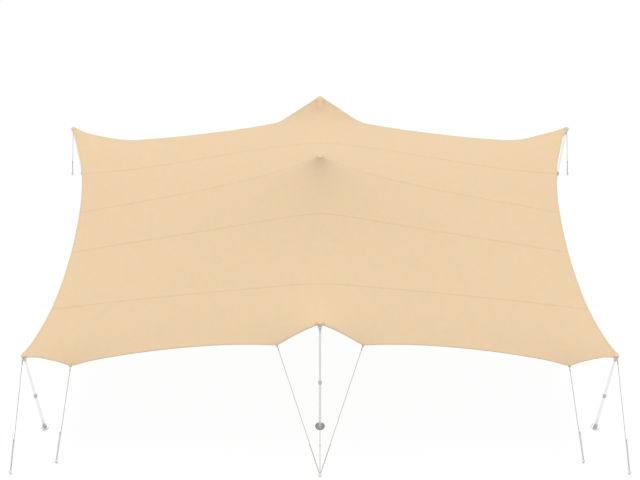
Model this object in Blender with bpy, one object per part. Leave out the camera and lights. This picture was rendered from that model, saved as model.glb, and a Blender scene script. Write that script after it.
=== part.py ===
"""Stretch tent: a stretch-fabric canopy on seven poles, with its hems, caps, guy ropes and stakes.

Metres, +Z up. The origin is on the ground at the middle of the plan, +X runs along the long
side to the right and +Y runs from the front hem to the back hem. The fabric's shape is the
equilibrium of a pulled net, worked out from the points that hold it.
"""
import math

import bpy
import numpy as np

# Points that hold the fabric, with places given as if they were in the back right quarter
HALF_LENGTH = 5.0
HALF_DEPTH = 2.834
CORNER_REACH = {"front": 5.063, "back": 4.997}
CORNER_HEIGHT = {"front": 2.129, "back": 2.286}
MIDDLE_TIP_Y = 2.83
MIDDLE_TIP_HEIGHT = {"front": 2.993, "back": 3.111}
PEAK_HEIGHT = 3.560
OUTER_TIE = {"front": (4.257, 2.987, 2.032), "back": (3.984, 2.846, 1.921)}
INNER_TIE = {"front": (0.735, 2.927, 2.498), "back": (0.833, 2.860, 2.420)}

# Five strips of fabric: the seams' places as shares of the depth, counted from the front hem
SEAM_SHARES = (0.1975, 0.4400, 0.6079, 0.7758)
PANEL_NAMES = ("front", "front_middle", "middle", "back_middle", "back")
PEAK_SHARE = SEAM_SHARES[2]
DEPTH = 2 * HALF_DEPTH
PEAK_Y = (PEAK_SHARE - 0.5) * DEPTH

# Pull in the fabric, per metre of width across the tent taken as one
CROSS_PULL = 7.75
RIDGE_PULL = 8.91
RIDGE_WIDTH = 0.667
PEAK_SEAM_PULL = 21.2
PEAK_SEAM_REACH = 0.766
LONG_HEM_PULL = 10.66
MIDDLE_HEM_PULL = 400.0
SIDE_HEM_PULL = {"front": 63.4, "back": 50.8}

# Lines of the slack cloth that the ties hold, and how many cells lie between them
OUTER_TIE_LINE = 4.171
INNER_TIE_LINE = 0.70
CELLS_ALONG = (10, 16, 6)
CELLS_ACROSS = (6, 8, 10, 10, 6)
PEAK_GRADING = 1.6
CENTRE_GRADING = 1.5
SOLID_STEP = 2

# Fabric, hem and the gap that touching pieces keep
FABRIC_THICKNESS = 0.004
HEM_WIDTH = 0.030
HEM_THICKNESS = 0.012
HEM_FLARE_REACH = 0.25
GAP = 0.0003
HEM_GAP = 0.0006

# Caps over the pole heads
EDGE_CAP_RADIUS = 0.045
CENTRE_CAP_RADIUS = 0.062
CAP_SKIRT = 0.032
CAP_RISE = 0.014
CUTTER_REACH = 0.25

# Dome of the centre pole's head, under the fabric
HEAD_REACH = 0.070
HEAD_CURVE = 0.15

# Poles
EDGE_POLE_RADIUS = 0.025
CENTRE_POLE_RADIUS = 0.030
EDGE_HEAD_RADIUS = 0.031
CENTRE_HEAD_RADIUS = 0.058
HEAD_HEIGHT = 0.060
HEAD_TAPER = 0.050
FOOT_RADIUS = 0.090
FOOT_THICKNESS = 0.008
FOOT_SOCKET_HEIGHT = 0.070
FOOT_SOCKET_WALL = 0.006

# Ropes and stakes
ROPE_RADIUS = 0.006
EYE_BORE = 0.0113
EYE_RADIUS = 0.024
EYE_HEIGHT = 0.020
EYE_LEVEL = 0.050
STAKE_RADIUS = 0.011
STAKE_HEAD_RADIUS = 0.016
STAKE_NECK_HEIGHT = 0.085
STAKE_HEIGHT = 0.100
CORNER_STAKE = (5.50, 3.85)
TIE_STAKE = {"front": (4.72, 3.62), "back": (4.46, 3.50)}
MIDDLE_STAKE = (0.0, 3.90)

ROUND_SIDES = 20
CAP_SIDES = 24
ROPE_SIDES = 8
SMOOTH_ANGLE = math.radians(40)

UP = (0.0, 0.0, 1.0)
SIDES = {"left": -1, "right": 1}
ENDS = {"front": -1, "back": 1}


def clear_scene():
    for item in list(bpy.data.objects):
        bpy.data.objects.remove(item, do_unlink=True)


def make_material(name, colour, roughness, metallic=0.0):
    material = bpy.data.materials.new(name)
    material.use_nodes = True
    shader = material.node_tree.nodes["Principled BSDF"]
    shader.inputs["Base Color"].default_value = (*colour, 1.0)
    shader.inputs["Roughness"].default_value = roughness
    shader.inputs["Metallic"].default_value = metallic
    return material


def make_object(name, vertices, faces, material=None):
    mesh = bpy.data.meshes.new(name)
    mesh.from_pydata([tuple(map(float, vertex)) for vertex in vertices], [], faces)
    mesh.shade_smooth()
    mesh.set_sharp_from_angle(angle=SMOOTH_ANGLE)
    item = bpy.data.objects.new(name, mesh)
    bpy.context.scene.collection.objects.link(item)
    if material:
        mesh.materials.append(material)
    else:
        item.hide_render = True
        item.display_type = "WIRE"
    return item


def combine(item, other, operation):
    modifier = item.modifiers.new(other.name, "BOOLEAN")
    modifier.operation = operation
    modifier.object = other
    modifier.solver = "EXACT"


def unit(vectors):
    return vectors / np.linalg.norm(vectors, axis=-1, keepdims=True)


# The net

def spread(start, end, cells, grading=1.0):
    """Lines from start to end, closer together near start where grading is over one."""
    return start + (end - start) * (np.arange(cells + 1) / cells) ** grading


def net_lines():
    """Lines of the slack cloth: across the tent at x, and along it at y, front to back."""
    half = np.concatenate([
        spread(0, INNER_TIE_LINE, CELLS_ALONG[0], CENTRE_GRADING),
        spread(INNER_TIE_LINE, OUTER_TIE_LINE, CELLS_ALONG[1])[1:],
        spread(OUTER_TIE_LINE, HALF_LENGTH, CELLS_ALONG[2])[1:],
    ])
    seams = [share * DEPTH for share in (0.0, *SEAM_SHARES, 1.0)]
    across = np.concatenate([
        spread(seams[0], seams[1], CELLS_ACROSS[0])[:-1],
        spread(seams[1], seams[2], CELLS_ACROSS[1])[:-1],
        spread(seams[3], seams[2], CELLS_ACROSS[2], PEAK_GRADING)[:0:-1],
        spread(seams[3], seams[4], CELLS_ACROSS[3], PEAK_GRADING)[:-1],
        spread(seams[4], seams[5], CELLS_ACROSS[4]),
    ])
    return np.concatenate([-half[::-1], half[1:]]), across - HALF_DEPTH


def node_widths(cells):
    """Width of cloth that each line carries: half of the cell on either side."""
    return (np.concatenate([[0], cells]) + np.concatenate([cells, [0]])) / 2


def held_nodes(x, y):
    """Row and column of each node that is held, with its place."""
    held = {}
    for end, sign_y in ENDS.items():
        row = 0 if end == "front" else len(y) - 1
        held[row, nearest(x, 0)] = (0, sign_y * MIDDLE_TIP_Y, MIDDLE_TIP_HEIGHT[end])
        for sign_x in SIDES.values():
            for line, place in (
                (HALF_LENGTH, (CORNER_REACH[end], HALF_DEPTH, CORNER_HEIGHT[end])),
                (OUTER_TIE_LINE, OUTER_TIE[end]),
                (INNER_TIE_LINE, INNER_TIE[end]),
            ):
                column = nearest(x, sign_x * line)
                held[row, column] = (sign_x * place[0], sign_y * place[1], place[2])
    for row, column in np.ndindex(len(y), len(x)):
        reach = math.hypot(x[column], y[row] - PEAK_Y)
        if reach <= HEAD_REACH:
            held[row, column] = (x[column], y[row], PEAK_HEIGHT - reach ** 2 / (2 * HEAD_CURVE))
    return held


def nearest(lines, value):
    return int(np.argmin(abs(lines - value)))


def find_net():
    """The nodes' places where every free one is in balance, by the force density method."""
    x, y = net_lines()
    rows, columns = len(y), len(x)
    number = np.arange(rows * columns).reshape(rows, columns)
    step_x, step_y = np.diff(x), np.diff(y)[:, None]
    pull_x = CROSS_PULL * node_widths(step_y[:, 0])[:, None] / step_x
    from_middle = abs(x[1:] + x[:-1]) / 2
    pull_x[nearest(y, PEAK_Y)] += PEAK_SEAM_PULL * np.exp(-(from_middle / PEAK_SEAM_REACH) ** 4) / step_x
    between_inner_ties = from_middle < INNER_TIE_LINE
    pull_x[[0, -1]] += np.where(between_inner_ties, MIDDLE_HEM_PULL, LONG_HEM_PULL) / step_x
    ridge = 1 + RIDGE_PULL * np.exp(-(x / RIDGE_WIDTH) ** 2)
    pull_y = node_widths(step_x) * ridge / step_y
    in_front = (y[1:] + y[:-1])[:, None] / 2 < SEAM_SHARES[1] * DEPTH - HALF_DEPTH
    pull_y[:, [0, -1]] += np.where(in_front, SIDE_HEM_PULL["front"], SIDE_HEM_PULL["back"]) / step_y

    balance = np.zeros((number.size, number.size))
    for first, second, pull in (
        (number[:, :-1], number[:, 1:], pull_x),
        (number[:-1], number[1:], pull_y),
    ):
        first, second, pull = first.ravel(), second.ravel(), pull.ravel()
        np.add.at(balance, (first, first), pull)
        np.add.at(balance, (second, second), pull)
        balance[first, second] = -pull
        balance[second, first] = -pull

    held = held_nodes(x, y)
    held_numbers = [number[place] for place in held]
    free = np.setdiff1d(number, held_numbers)
    places = np.zeros((number.size, 3))
    places[held_numbers] = list(held.values())
    load = -balance[np.ix_(free, held_numbers)] @ places[held_numbers]
    places[free] = np.linalg.solve(balance[np.ix_(free, free)], load)
    return places.reshape(rows, columns, 3)


def draw_in(net, caps):
    """The net with its edge moved in by the hem's width, but less and less towards the caps."""
    drawn = net.copy()
    for edge, inner in (
        (np.s_[0], np.s_[1]),
        (np.s_[-1], np.s_[-2]),
        (np.s_[:, 0], np.s_[:, 1]),
        (np.s_[:, -1], np.s_[:, -2]),
    ):
        reach = np.min([np.linalg.norm(net[edge] - tip, axis=1) for tip, radius in caps.values()], axis=0)
        share = np.clip(reach / HEM_FLARE_REACH, 0, 1)[:, None]
        drawn[edge] += unit(net[inner] - net[edge]) * HEM_WIDTH * share
    return drawn


def net_normals(net):
    """Upward normals of the fabric, which at its edges are the hems' upright directions."""
    normals = unit(np.cross(np.gradient(net, axis=1), np.gradient(net, axis=0)))
    normals[:, 0] = edge_frames(net[::-1, 0])[1][::-1]
    normals[:, -1] = edge_frames(net[:, -1])[1]
    front = edge_frames(net[0])[1]
    back = edge_frames(net[-1, ::-1])[1][::-1]
    for row, hem in ((0, front), (-1, back)):
        corners = unit(normals[row, [0, -1]] + hem[[0, -1]])
        normals[row] = hem
        normals[row, [0, -1]] = corners
    return normals


# Canopy

def make_panel(name, net, normals, first_is_seam, last_is_seam, material):
    """A strip of the net as a thin closed shell, drawn in by half a gap at its seams."""
    middle = net.copy()
    if first_is_seam:
        middle[0] += unit(net[1] - net[0]) * GAP / 2
    if last_is_seam:
        middle[-1] += unit(net[-2] - net[-1]) * GAP / 2
    rows, columns = middle.shape[:2]
    offset = normals * FABRIC_THICKNESS / 2
    vertices = np.concatenate([(middle + offset).reshape(-1, 3), (middle - offset).reshape(-1, 3)])
    number = np.arange(rows * columns).reshape(rows, columns)
    under = rows * columns
    faces = []
    for row, column in np.ndindex(rows - 1, columns - 1):
        a, b = number[row, column], number[row, column + 1]
        c, d = number[row + 1, column + 1], number[row + 1, column]
        faces += [(a, b, c), (a, c, d), (a + under, c + under, b + under), (a + under, d + under, c + under)]
    border = [*number[0], *number[1:, -1], *number[-1, -2::-1], *number[-2:0:-1, 0]]
    for a, b in zip(border, border[1:] + border[:1]):
        faces.append((a + under, b + under, b, a))
    return make_object(name, vertices, [tuple(map(int, face)) for face in faces], material)


def hem_section():
    """The hem's section as (outward, up) pairs, flat where it meets the fabric's edge."""
    inner, outer = 0.35 * HEM_THICKNESS, 0.22 * HEM_THICKNESS
    top = HEM_THICKNESS / 2
    shoulder = 0.2 * HEM_WIDTH
    half = [(0.0, inner), (shoulder, top), (HEM_WIDTH - shoulder, top), (HEM_WIDTH, outer)]
    section = half + [(out, -up) for out, up in reversed(half)]
    return [(out + HEM_GAP, up) for out, up in section]


def edge_frames(edge):
    """Level outward and upright directions along an edge that runs anticlockwise, mitred at its bends."""
    runs = unit(np.diff(edge, axis=0))
    before = np.concatenate([runs[:1], runs])
    after = np.concatenate([runs, runs[-1:]])
    outward_after = unit(np.cross(after, UP))
    outward = unit(unit(np.cross(before, UP)) + outward_after)
    mitre = 1 / np.sum(outward * outward_after, axis=1, keepdims=True)
    return outward * mitre, unit(np.cross(outward, unit(before + after)))


def make_hem(name, edge, material):
    outward, upward = edge_frames(edge)
    section = hem_section()
    sides = len(section)
    vertices = [
        edge[station] + outward[station] * out + upward[station] * up
        for station in range(len(edge))
        for out, up in section
    ]
    return make_object(name, vertices, tube_faces(len(edge), sides), material)


def tube_faces(rings, sides):
    """Faces of a closed tube whose rings turn clockwise when looking along it."""
    faces = [tuple(range(sides))]
    for ring in range(rings - 1):
        for side in range(sides):
            a, b = ring * sides + side, ring * sides + (side + 1) % sides
            faces.append((b, a, a + sides, b + sides))
    faces.append(tuple(range(rings * sides - 1, (rings - 1) * sides - 1, -1)))
    return faces


# Round pieces

def make_turned(name, profile, place, material, sides=ROUND_SIDES):
    """A solid turned about its upright axis, from a profile of (radius, height) from the bottom up."""
    vertices = [
        (place[0] + radius * math.cos(turn), place[1] + radius * math.sin(turn), place[2] + height)
        for radius, height in profile
        for turn in (2 * math.pi * side / sides for side in range(sides))
    ]
    faces = [tuple(range(sides - 1, -1, -1))]
    for ring in range(len(profile) - 1):
        for side in range(sides):
            a, b = ring * sides + side, ring * sides + (side + 1) % sides
            faces.append((a, b, b + sides, a + sides))
    faces.append(tuple(range((len(profile) - 1) * sides, len(profile) * sides)))
    return make_object(name, vertices, faces, material)


def make_cap(name, tip, radius, material):
    """A domed fabric cap round the pole head, level with the fabric's tip."""
    dome = [(radius * math.cos(rise), CAP_RISE * math.sin(rise)) for rise in np.radians((0, 30, 55, 75))]
    return make_turned(name, [(radius, -CAP_SKIRT), *dome], tip, material, CAP_SIDES)


def make_cap_cutter(name, tip, radius):
    grown = radius + GAP
    return make_turned(name, [(grown, -CUTTER_REACH), (grown, CUTTER_REACH)], tip, None, CAP_SIDES)


def make_pole(name, tip, radius, head, material):
    """An upright pole from its foot plate on the ground to the head under the cap."""
    top = tip[2] - CAP_SKIRT - GAP
    socket = radius + FOOT_SOCKET_WALL
    profile = [
        (FOOT_RADIUS, 0.0),
        (FOOT_RADIUS, FOOT_THICKNESS),
        (socket, FOOT_THICKNESS),
        (socket, FOOT_SOCKET_HEIGHT),
        (radius, FOOT_SOCKET_HEIGHT),
        (radius, top - HEAD_HEIGHT - HEAD_TAPER),
        (head, top - HEAD_HEIGHT),
        (head, top),
    ]
    return make_turned(name, profile, (tip[0], tip[1], 0.0), material)


def make_stake(name, place, material):
    profile = [
        (STAKE_RADIUS, 0.0),
        (STAKE_RADIUS, STAKE_NECK_HEIGHT),
        (STAKE_HEAD_RADIUS, STAKE_NECK_HEIGHT),
        (STAKE_HEAD_RADIUS, STAKE_HEIGHT),
    ]
    return make_turned(name, profile, (*place, 0.0), material)


# Ropes

def make_rope_run(name, start, end, material=None):
    start, end = np.array(start, float), np.array(end, float)
    along = unit(end - start)
    side = unit(np.cross(along, UP))
    rise = np.cross(side, along)
    turns = [2 * math.pi * step / ROPE_SIDES for step in range(ROPE_SIDES)]
    ring = [side * math.cos(turn) * ROPE_RADIUS + rise * math.sin(turn) * ROPE_RADIUS for turn in turns]
    vertices = [centre + offset for centre in (start, end) for offset in ring]
    return make_object(name, vertices, tube_faces(2, ROPE_SIDES), material)


def make_eye(name, stake):
    """The loop at the rope's lower end, open for the stake."""
    low, high = EYE_LEVEL - EYE_HEIGHT / 2, EYE_LEVEL + EYE_HEIGHT / 2
    sides = ROUND_SIDES
    rings = [(EYE_BORE, low), (EYE_RADIUS, low), (EYE_RADIUS, high), (EYE_BORE, high)]
    vertices = [
        (stake[0] + radius * math.cos(turn), stake[1] + radius * math.sin(turn), height)
        for radius, height in rings
        for turn in (2 * math.pi * side / sides for side in range(sides))
    ]
    faces = []
    for ring in range(len(rings)):
        following = (ring + 1) % len(rings)
        for side in range(sides):
            a, b = side, (side + 1) % sides
            faces.append((ring * sides + a, ring * sides + b, following * sides + b, following * sides + a))
    return make_object(name, vertices, faces)


def eye_side(stake, toward):
    """Where a rope that comes from toward ends, in the wall of the eye."""
    axis = np.array((*stake, EYE_LEVEL - EYE_HEIGHT / 4))
    level = unit((np.array(toward) - axis) * (1, 1, 0))
    return axis + level * (EYE_BORE + ROPE_RADIUS + GAP + 0.002)


def head_side(tip, stake):
    """Where a rope to the stake leaves the pole's head."""
    centre = np.array((tip[0], tip[1], tip[2] - CAP_SKIRT - GAP - HEAD_HEIGHT / 2))
    drop = eye_side(stake, centre) - centre
    level = unit(drop * (1, 1, 0))
    steepness = abs(drop[2]) / np.linalg.norm(drop)
    return centre + level * (EDGE_HEAD_RADIUS + GAP + ROPE_RADIUS * steepness)


def hem_side(edge, station, stake):
    """Where a rope to the stake leaves the hem, clear of its section and of the runs beside it."""
    outward, upward = edge_frames(edge)
    ring = np.array([edge[station] + outward[station] * out + upward[station] * up for out, up in hem_section()])
    centre = ring.mean(axis=0)
    along = unit(eye_side(stake, centre) - centre)
    reach = ((ring - centre) @ along).max()
    lean = max(0, *(unit(edge[other] - edge[station]) @ along for other in (station - 1, station + 1)))
    return centre + along * (reach + GAP + ROPE_RADIUS * lean / math.sqrt(1 - lean ** 2))


def make_ropes(name, starts, stake, material):
    """Ropes from each start to one stake, joined by the eye round it."""
    run = make_rope_run(name, starts[0], eye_side(stake, starts[0]), material)
    for count, start in enumerate(starts[1:], 1):
        combine(run, make_rope_run(f"{name}_leg_{count}", start, eye_side(stake, start)), "UNION")
    combine(run, make_eye(f"{name}_eye", stake), "UNION")
    return run


# Assembly

def tips():
    """Where each cap sits: its name, place and radius."""
    places = {}
    for end, sign_y in ENDS.items():
        middle = (0.0, sign_y * MIDDLE_TIP_Y, MIDDLE_TIP_HEIGHT[end])
        places[f"{end}_middle"] = (middle, EDGE_CAP_RADIUS)
        for side, sign_x in SIDES.items():
            corner = (sign_x * CORNER_REACH[end], sign_y * HALF_DEPTH, CORNER_HEIGHT[end])
            places[f"{end}_{side}"] = (corner, EDGE_CAP_RADIUS)
    places["centre"] = ((0.0, PEAK_Y, PEAK_HEIGHT), CENTRE_CAP_RADIUS)
    return places


def hem_runs(net):
    """Each hem's edge of the net, anticlockwise, with the caps at its ends."""
    centre = net.shape[1] // 2
    return {
        "front_left": (net[0, :centre + 1], "front_left", "front_middle"),
        "front_right": (net[0, centre:], "front_middle", "front_right"),
        "right": (net[:, -1], "front_right", "back_right"),
        "back_right": (net[-1, :centre - 1:-1], "back_right", "back_middle"),
        "back_left": (net[-1, centre::-1], "back_middle", "back_left"),
        "left": (net[::-1, 0], "back_left", "front_left"),
    }


def nearest_station(edge, place):
    return int(np.argmin(np.linalg.norm(edge - np.array(place), axis=1)))


def build():
    fabric = make_material("canopy_fabric", (0.78, 0.60, 0.39), 0.85)
    hem_fabric = make_material("hem_fabric", (0.72, 0.54, 0.34), 0.8)
    cap_fabric = make_material("cap_fabric", (0.76, 0.58, 0.38), 0.8)
    pole_metal = make_material("pole_metal", (0.80, 0.80, 0.80), 0.35, 1.0)
    rope_fibre = make_material("rope_fibre", (0.80, 0.74, 0.62), 0.9)
    stake_steel = make_material("stake_steel", (0.55, 0.56, 0.57), 0.4, 1.0)

    caps = tips()
    net = draw_in(find_net()[::SOLID_STEP, ::SOLID_STEP], caps)
    normals = net_normals(net)

    cutters = {}
    for name, (tip, radius) in caps.items():
        make_cap(f"cap_{name}", tip, radius, cap_fabric)
        if name == "centre":
            make_pole("pole_centre", tip, CENTRE_POLE_RADIUS, CENTRE_HEAD_RADIUS, pole_metal)
        else:
            make_pole(f"pole_{name}", tip, EDGE_POLE_RADIUS, EDGE_HEAD_RADIUS, pole_metal)
        cutters[name] = make_cap_cutter(f"cap_{name}_cutter", tip, radius)

    seam_rows = np.cumsum((0, *CELLS_ACROSS)) // SOLID_STEP
    for number, name in enumerate(PANEL_NAMES):
        first, last = seam_rows[number], seam_rows[number + 1]
        panel = make_panel(
            f"panel_{name}", net[first:last + 1], normals[first:last + 1],
            number > 0, number < len(PANEL_NAMES) - 1, fabric,
        )
        if name in ENDS:
            for place in ("left", "middle", "right"):
                combine(panel, cutters[f"{name}_{place}"], "DIFFERENCE")
        elif name in ("middle", "back_middle"):
            combine(panel, cutters["centre"], "DIFFERENCE")

    runs = hem_runs(net)
    for name, (edge, *ends) in runs.items():
        hem = make_hem(f"hem_{name}", edge, hem_fabric)
        for end in ends:
            combine(hem, cutters[end], "DIFFERENCE")

    for end, sign_y in ENDS.items():
        middle_stake = (MIDDLE_STAKE[0], sign_y * MIDDLE_STAKE[1])
        starts = [head_side(caps[f"{end}_middle"][0], middle_stake)]
        for side, sign_x in SIDES.items():
            edge = runs[f"{end}_{side}"][0]
            signs = np.array((sign_x, sign_y, 1))
            inner = nearest_station(edge, signs * INNER_TIE[end])
            outer = nearest_station(edge, signs * OUTER_TIE[end])
            starts.append(hem_side(edge, inner, middle_stake))
            corner_stake = (sign_x * CORNER_STAKE[0], sign_y * CORNER_STAKE[1])
            tie_stake = (sign_x * TIE_STAKE[end][0], sign_y * TIE_STAKE[end][1])
            corner_start = head_side(caps[f"{end}_{side}"][0], corner_stake)
            tie_start = hem_side(edge, outer, tie_stake)
            make_ropes(f"guy_{end}_{side}", [corner_start], corner_stake, rope_fibre)
            make_ropes(f"tie_{end}_{side}", [tie_start], tie_stake, rope_fibre)
            make_stake(f"guy_stake_{end}_{side}", corner_stake, stake_steel)
            make_stake(f"tie_stake_{end}_{side}", tie_stake, stake_steel)
        make_ropes(f"guys_{end}_middle", starts, middle_stake, rope_fibre)
        make_stake(f"guy_stake_{end}_middle", middle_stake, stake_steel)


clear_scene()
build()
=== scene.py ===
"""The stretch tent's looks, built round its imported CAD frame.

Metres, +Z up, +X along the long side to the right, +Y from the front hem to the back hem. The
canopy is one sheet, whose shape is the equilibrium of a pulled net. The net has the CAD's corner
tips, ties and pulls at the hems, on finer lines, and pulls of its own elsewhere. "Slack" places
are places on the cloth before it was pulled: x along it and y across it.
"""
import math

import bmesh
import bpy
import numpy as np
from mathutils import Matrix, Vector


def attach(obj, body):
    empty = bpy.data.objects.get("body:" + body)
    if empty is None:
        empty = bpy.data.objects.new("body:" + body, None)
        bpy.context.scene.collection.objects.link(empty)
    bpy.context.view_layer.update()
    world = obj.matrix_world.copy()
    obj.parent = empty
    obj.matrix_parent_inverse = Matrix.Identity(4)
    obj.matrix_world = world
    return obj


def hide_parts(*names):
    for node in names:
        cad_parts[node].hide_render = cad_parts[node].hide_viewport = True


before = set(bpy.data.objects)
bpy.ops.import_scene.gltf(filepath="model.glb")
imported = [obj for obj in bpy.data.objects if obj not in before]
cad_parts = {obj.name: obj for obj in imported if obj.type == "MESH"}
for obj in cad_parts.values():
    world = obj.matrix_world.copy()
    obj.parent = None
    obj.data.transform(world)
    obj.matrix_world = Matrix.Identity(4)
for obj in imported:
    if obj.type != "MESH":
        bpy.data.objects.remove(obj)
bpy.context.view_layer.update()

MM = 0.001
TURN = 2 * math.pi
UP = np.array((0.0, 0.0, 1.0))
SIDES = {"left": -1, "right": 1}
ENDS = {"front": -1, "back": 1}

# Points that hold the fabric, with places given as if they were in the back right quarter
HALF_LENGTH = 5.0
HALF_DEPTH = 2.834
CORNER_REACH = {"front": 5.063, "back": 4.997}
CORNER_HEIGHT = {"front": 2.129, "back": 2.286}
MIDDLE_TIP_Y = 2.83
MIDDLE_TIP_HEIGHT = {"front": 2.993, "back": 3.111}
PEAK_HEIGHT = 3.560
OUTER_TIE = {"front": (4.257, 2.987, 2.032), "back": (3.984, 2.846, 1.921)}
INNER_TIE = {"front": (0.735, 2.927, 2.498), "back": (0.833, 2.860, 2.420)}
SEAM_SHARES = (0.1975, 0.4400, 0.6079, 0.7758)
DEPTH = 2 * HALF_DEPTH
PEAK_Y = (SEAM_SHARES[2] - 0.5) * DEPTH
HEAD_REACH = 0.070
HEAD_CURVE = 0.15
MIDDLE_REACH = {"front": (0.075, 0.06), "back": (0.055, 0.25)}
MIDDLE_CURVE = {"front": (0.12, 0.08), "back": (0.063, 0.42)}
MIDDLE_SINK = {"front": 0.030, "back": 0.016}

# Pulls in the net; those along the hems are the CAD's
CROSS_PULL = 7.7
RIDGE_PULL = 11.35
RIDGE_WIDTH = 0.764
PEAK_SEAM_PULL = 9.0
PEAK_SEAM_REACH = 1.156
LONG_HEM_PULL = 10.66
MIDDLE_HEM_PULL = 400.0
SIDE_HEM_PULL = {"front": 63.4, "back": 50.8}

# The net's lines, closer together at the poles and the edges
OUTER_TIE_LINE = 4.171
INNER_TIE_LINE = 0.70
CELLS_ALONG = (30, 48, 18)
CELLS_ACROSS = (18, 24, 30, 30, 18)
CENTRE_GRADING = 1.5
PEAK_GRADING = 1.6
EDGE_GRADING = 1.7

# Fabric
CLOTH_THICKNESS = 1.2 * MM
HEM_FLARE_REACH = 0.25
WRAP_RADIUS = 50 * MM

# How far each hem's fold lies inside the slack cloth's edge, in mm, by place along the edge
FRONT_TRIM = [
    (0, 14), (0.1, 38), (0.2, 57), (0.35, 60), (0.7, 31), (1.1, 27), (1.7, 34), (2.6, 37),
    (3.5, 37), (3.9, 30), (4.171, 13), (4.4, 31), (4.7, 40), (5, 52),
]
HEM_TRIMS = {
    "front": [(-place, trim) for place, trim in FRONT_TRIM[:0:-1]] + FRONT_TRIM,
    "back": [
        (-5, 85), (-4.5, 85), (-4, 65), (-3.2, 76), (-2.2, 83), (-1.3, 78), (-0.7, 28), (-0.2, 16),
        (0, 8), (0.2, 14), (0.7, 60), (1.3, 85), (2.2, 87), (3.2, 87), (4, 76), (4.5, 22), (5, 14),
    ],
    "left": [
        (-2.83, 13), (-2.4, 42), (-1.8, 57), (-1.1, 38), (-0.4, 21),
        (0.4, 20), (1.1, 35), (1.8, 40), (2.4, 12), (2.83, 5),
    ],
    "right": [
        (-2.83, 8), (-2.4, 41), (-1.8, 59), (-1.1, 41), (-0.4, 30),
        (0.4, 35), (1.1, 58), (1.8, 72), (2.4, 54), (2.83, 60),
    ],
}

# Poles, ropes and stakes; the radii and the stakes' places are the CAD's
EDGE_POLE_RADIUS = 25 * MM
CENTRE_POLE_RADIUS = 30 * MM
HEAD_BAND_DROP = 62 * MM
CORNER_STAKE = (5.50, 3.85)
TIE_STAKE = {"front": (4.72, 3.62), "back": (4.46, 3.50)}
MIDDLE_STAKE = (0.0, 3.90)
STAKE_RADIUS = 11 * MM
ROPE_RADIUS = 6 * MM
LOOP_LEVEL = 50 * MM


# Small helpers

def unit(vectors):
    return vectors / np.linalg.norm(vectors, axis=-1, keepdims=True)


def smooth_step(value):
    value = np.clip(value, 0, 1)
    return value * value * (3 - 2 * value)


def grid_of(*values):
    """The values as coordinates, side by side over one grid."""
    return np.stack(np.broadcast_arrays(*values), axis=-1)


def run_along(points):
    """The length run at each point of a line."""
    return np.concatenate([[0], np.cumsum(np.linalg.norm(np.diff(points, axis=0), axis=1))])


def columns_at(at, known, columns):
    """Every column's value at places between the known ones."""
    return np.stack([np.interp(at, known, column) for column in columns.T], axis=-1)


def curve_through(at, knots):
    """Values of a smooth curve through the knots, given as pairs."""
    places, values = np.array(knots, float).T
    slopes = np.gradient(values, places)
    cell = np.clip(np.searchsorted(places, at) - 1, 0, len(places) - 2)
    width = places[cell + 1] - places[cell]
    share = np.clip((at - places[cell]) / width, 0, 1)
    rise = smooth_step(share)
    bend = share * (1 - share) * width
    start, end = bend * (1 - share) * slopes[cell], bend * share * slopes[cell + 1]
    return values[cell] * (1 - rise) + values[cell + 1] * rise + start - end


def resample(points, step):
    """Points along a line, evenly spaced at about the given step."""
    points = np.asarray(points, float)
    run = run_along(points)
    count = max(int(round(run[-1] / step)), 1)
    at = np.linspace(0, run[-1], count + 1)
    return columns_at(at, run, points), at


def tangents(points, closed=False):
    if closed:
        return unit(np.roll(points, -1, axis=0) - np.roll(points, 1, axis=0))
    runs = np.diff(points, axis=0)
    return unit(np.concatenate([runs[:1], runs]) + np.concatenate([runs, runs[-1:]]))


def carried_frames(points, closed=False):
    """Two directions across a line that bend with it and don't turn about it."""
    along = tangents(points, closed)
    least = np.eye(3)[np.argmin(abs(along[0]))]
    side = unit(np.cross(along[0], least))
    sides = []
    for direction in along:
        side = unit(side - direction * (side @ direction))
        sides.append(side)
    sides = np.array(sides)
    return sides, np.cross(along, sides)


def circle(centre, first, second, radius, count):
    """Points of a circle in the plane of two directions."""
    turns = (np.arange(count) * TURN / count)[:, None]
    return centre + (first * np.cos(turns) + second * np.sin(turns)) * radius


# Materials

def add_node(tree, kind, inputs, **settings):
    """A shader node, with each input set to a value or linked to another node's socket."""
    item = tree.nodes.new(f"ShaderNode{kind}")
    for key, value in settings.items():
        setattr(item, key, value)
    for key, value in inputs.items():
        if isinstance(value, bpy.types.NodeSocket):
            tree.links.new(value, item.inputs[key])
        else:
            item.inputs[key].default_value = value
    return item


def tinted(colour, shares):
    """A colour whose channels are each multiplied by a share."""
    return tuple(channel * share for channel, share in zip(colour, shares))


def bands(spacing):
    """The scale at which a wave texture has bands at the given spacing."""
    return TURN / (20 * spacing)


SOCKETS = {
    "roughness": "Roughness",
    "metallic": "Metallic",
    "specular": "Specular IOR Level",
    "sheen": "Sheen Weight",
    "sheen_roughness": "Sheen Roughness",
}

# Shares of the fabric's colour in its cooler and its warmer patches
COOL = (0.985, 0.990, 1.012)
WARM = (1.012, 1.004, 0.982)


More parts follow.
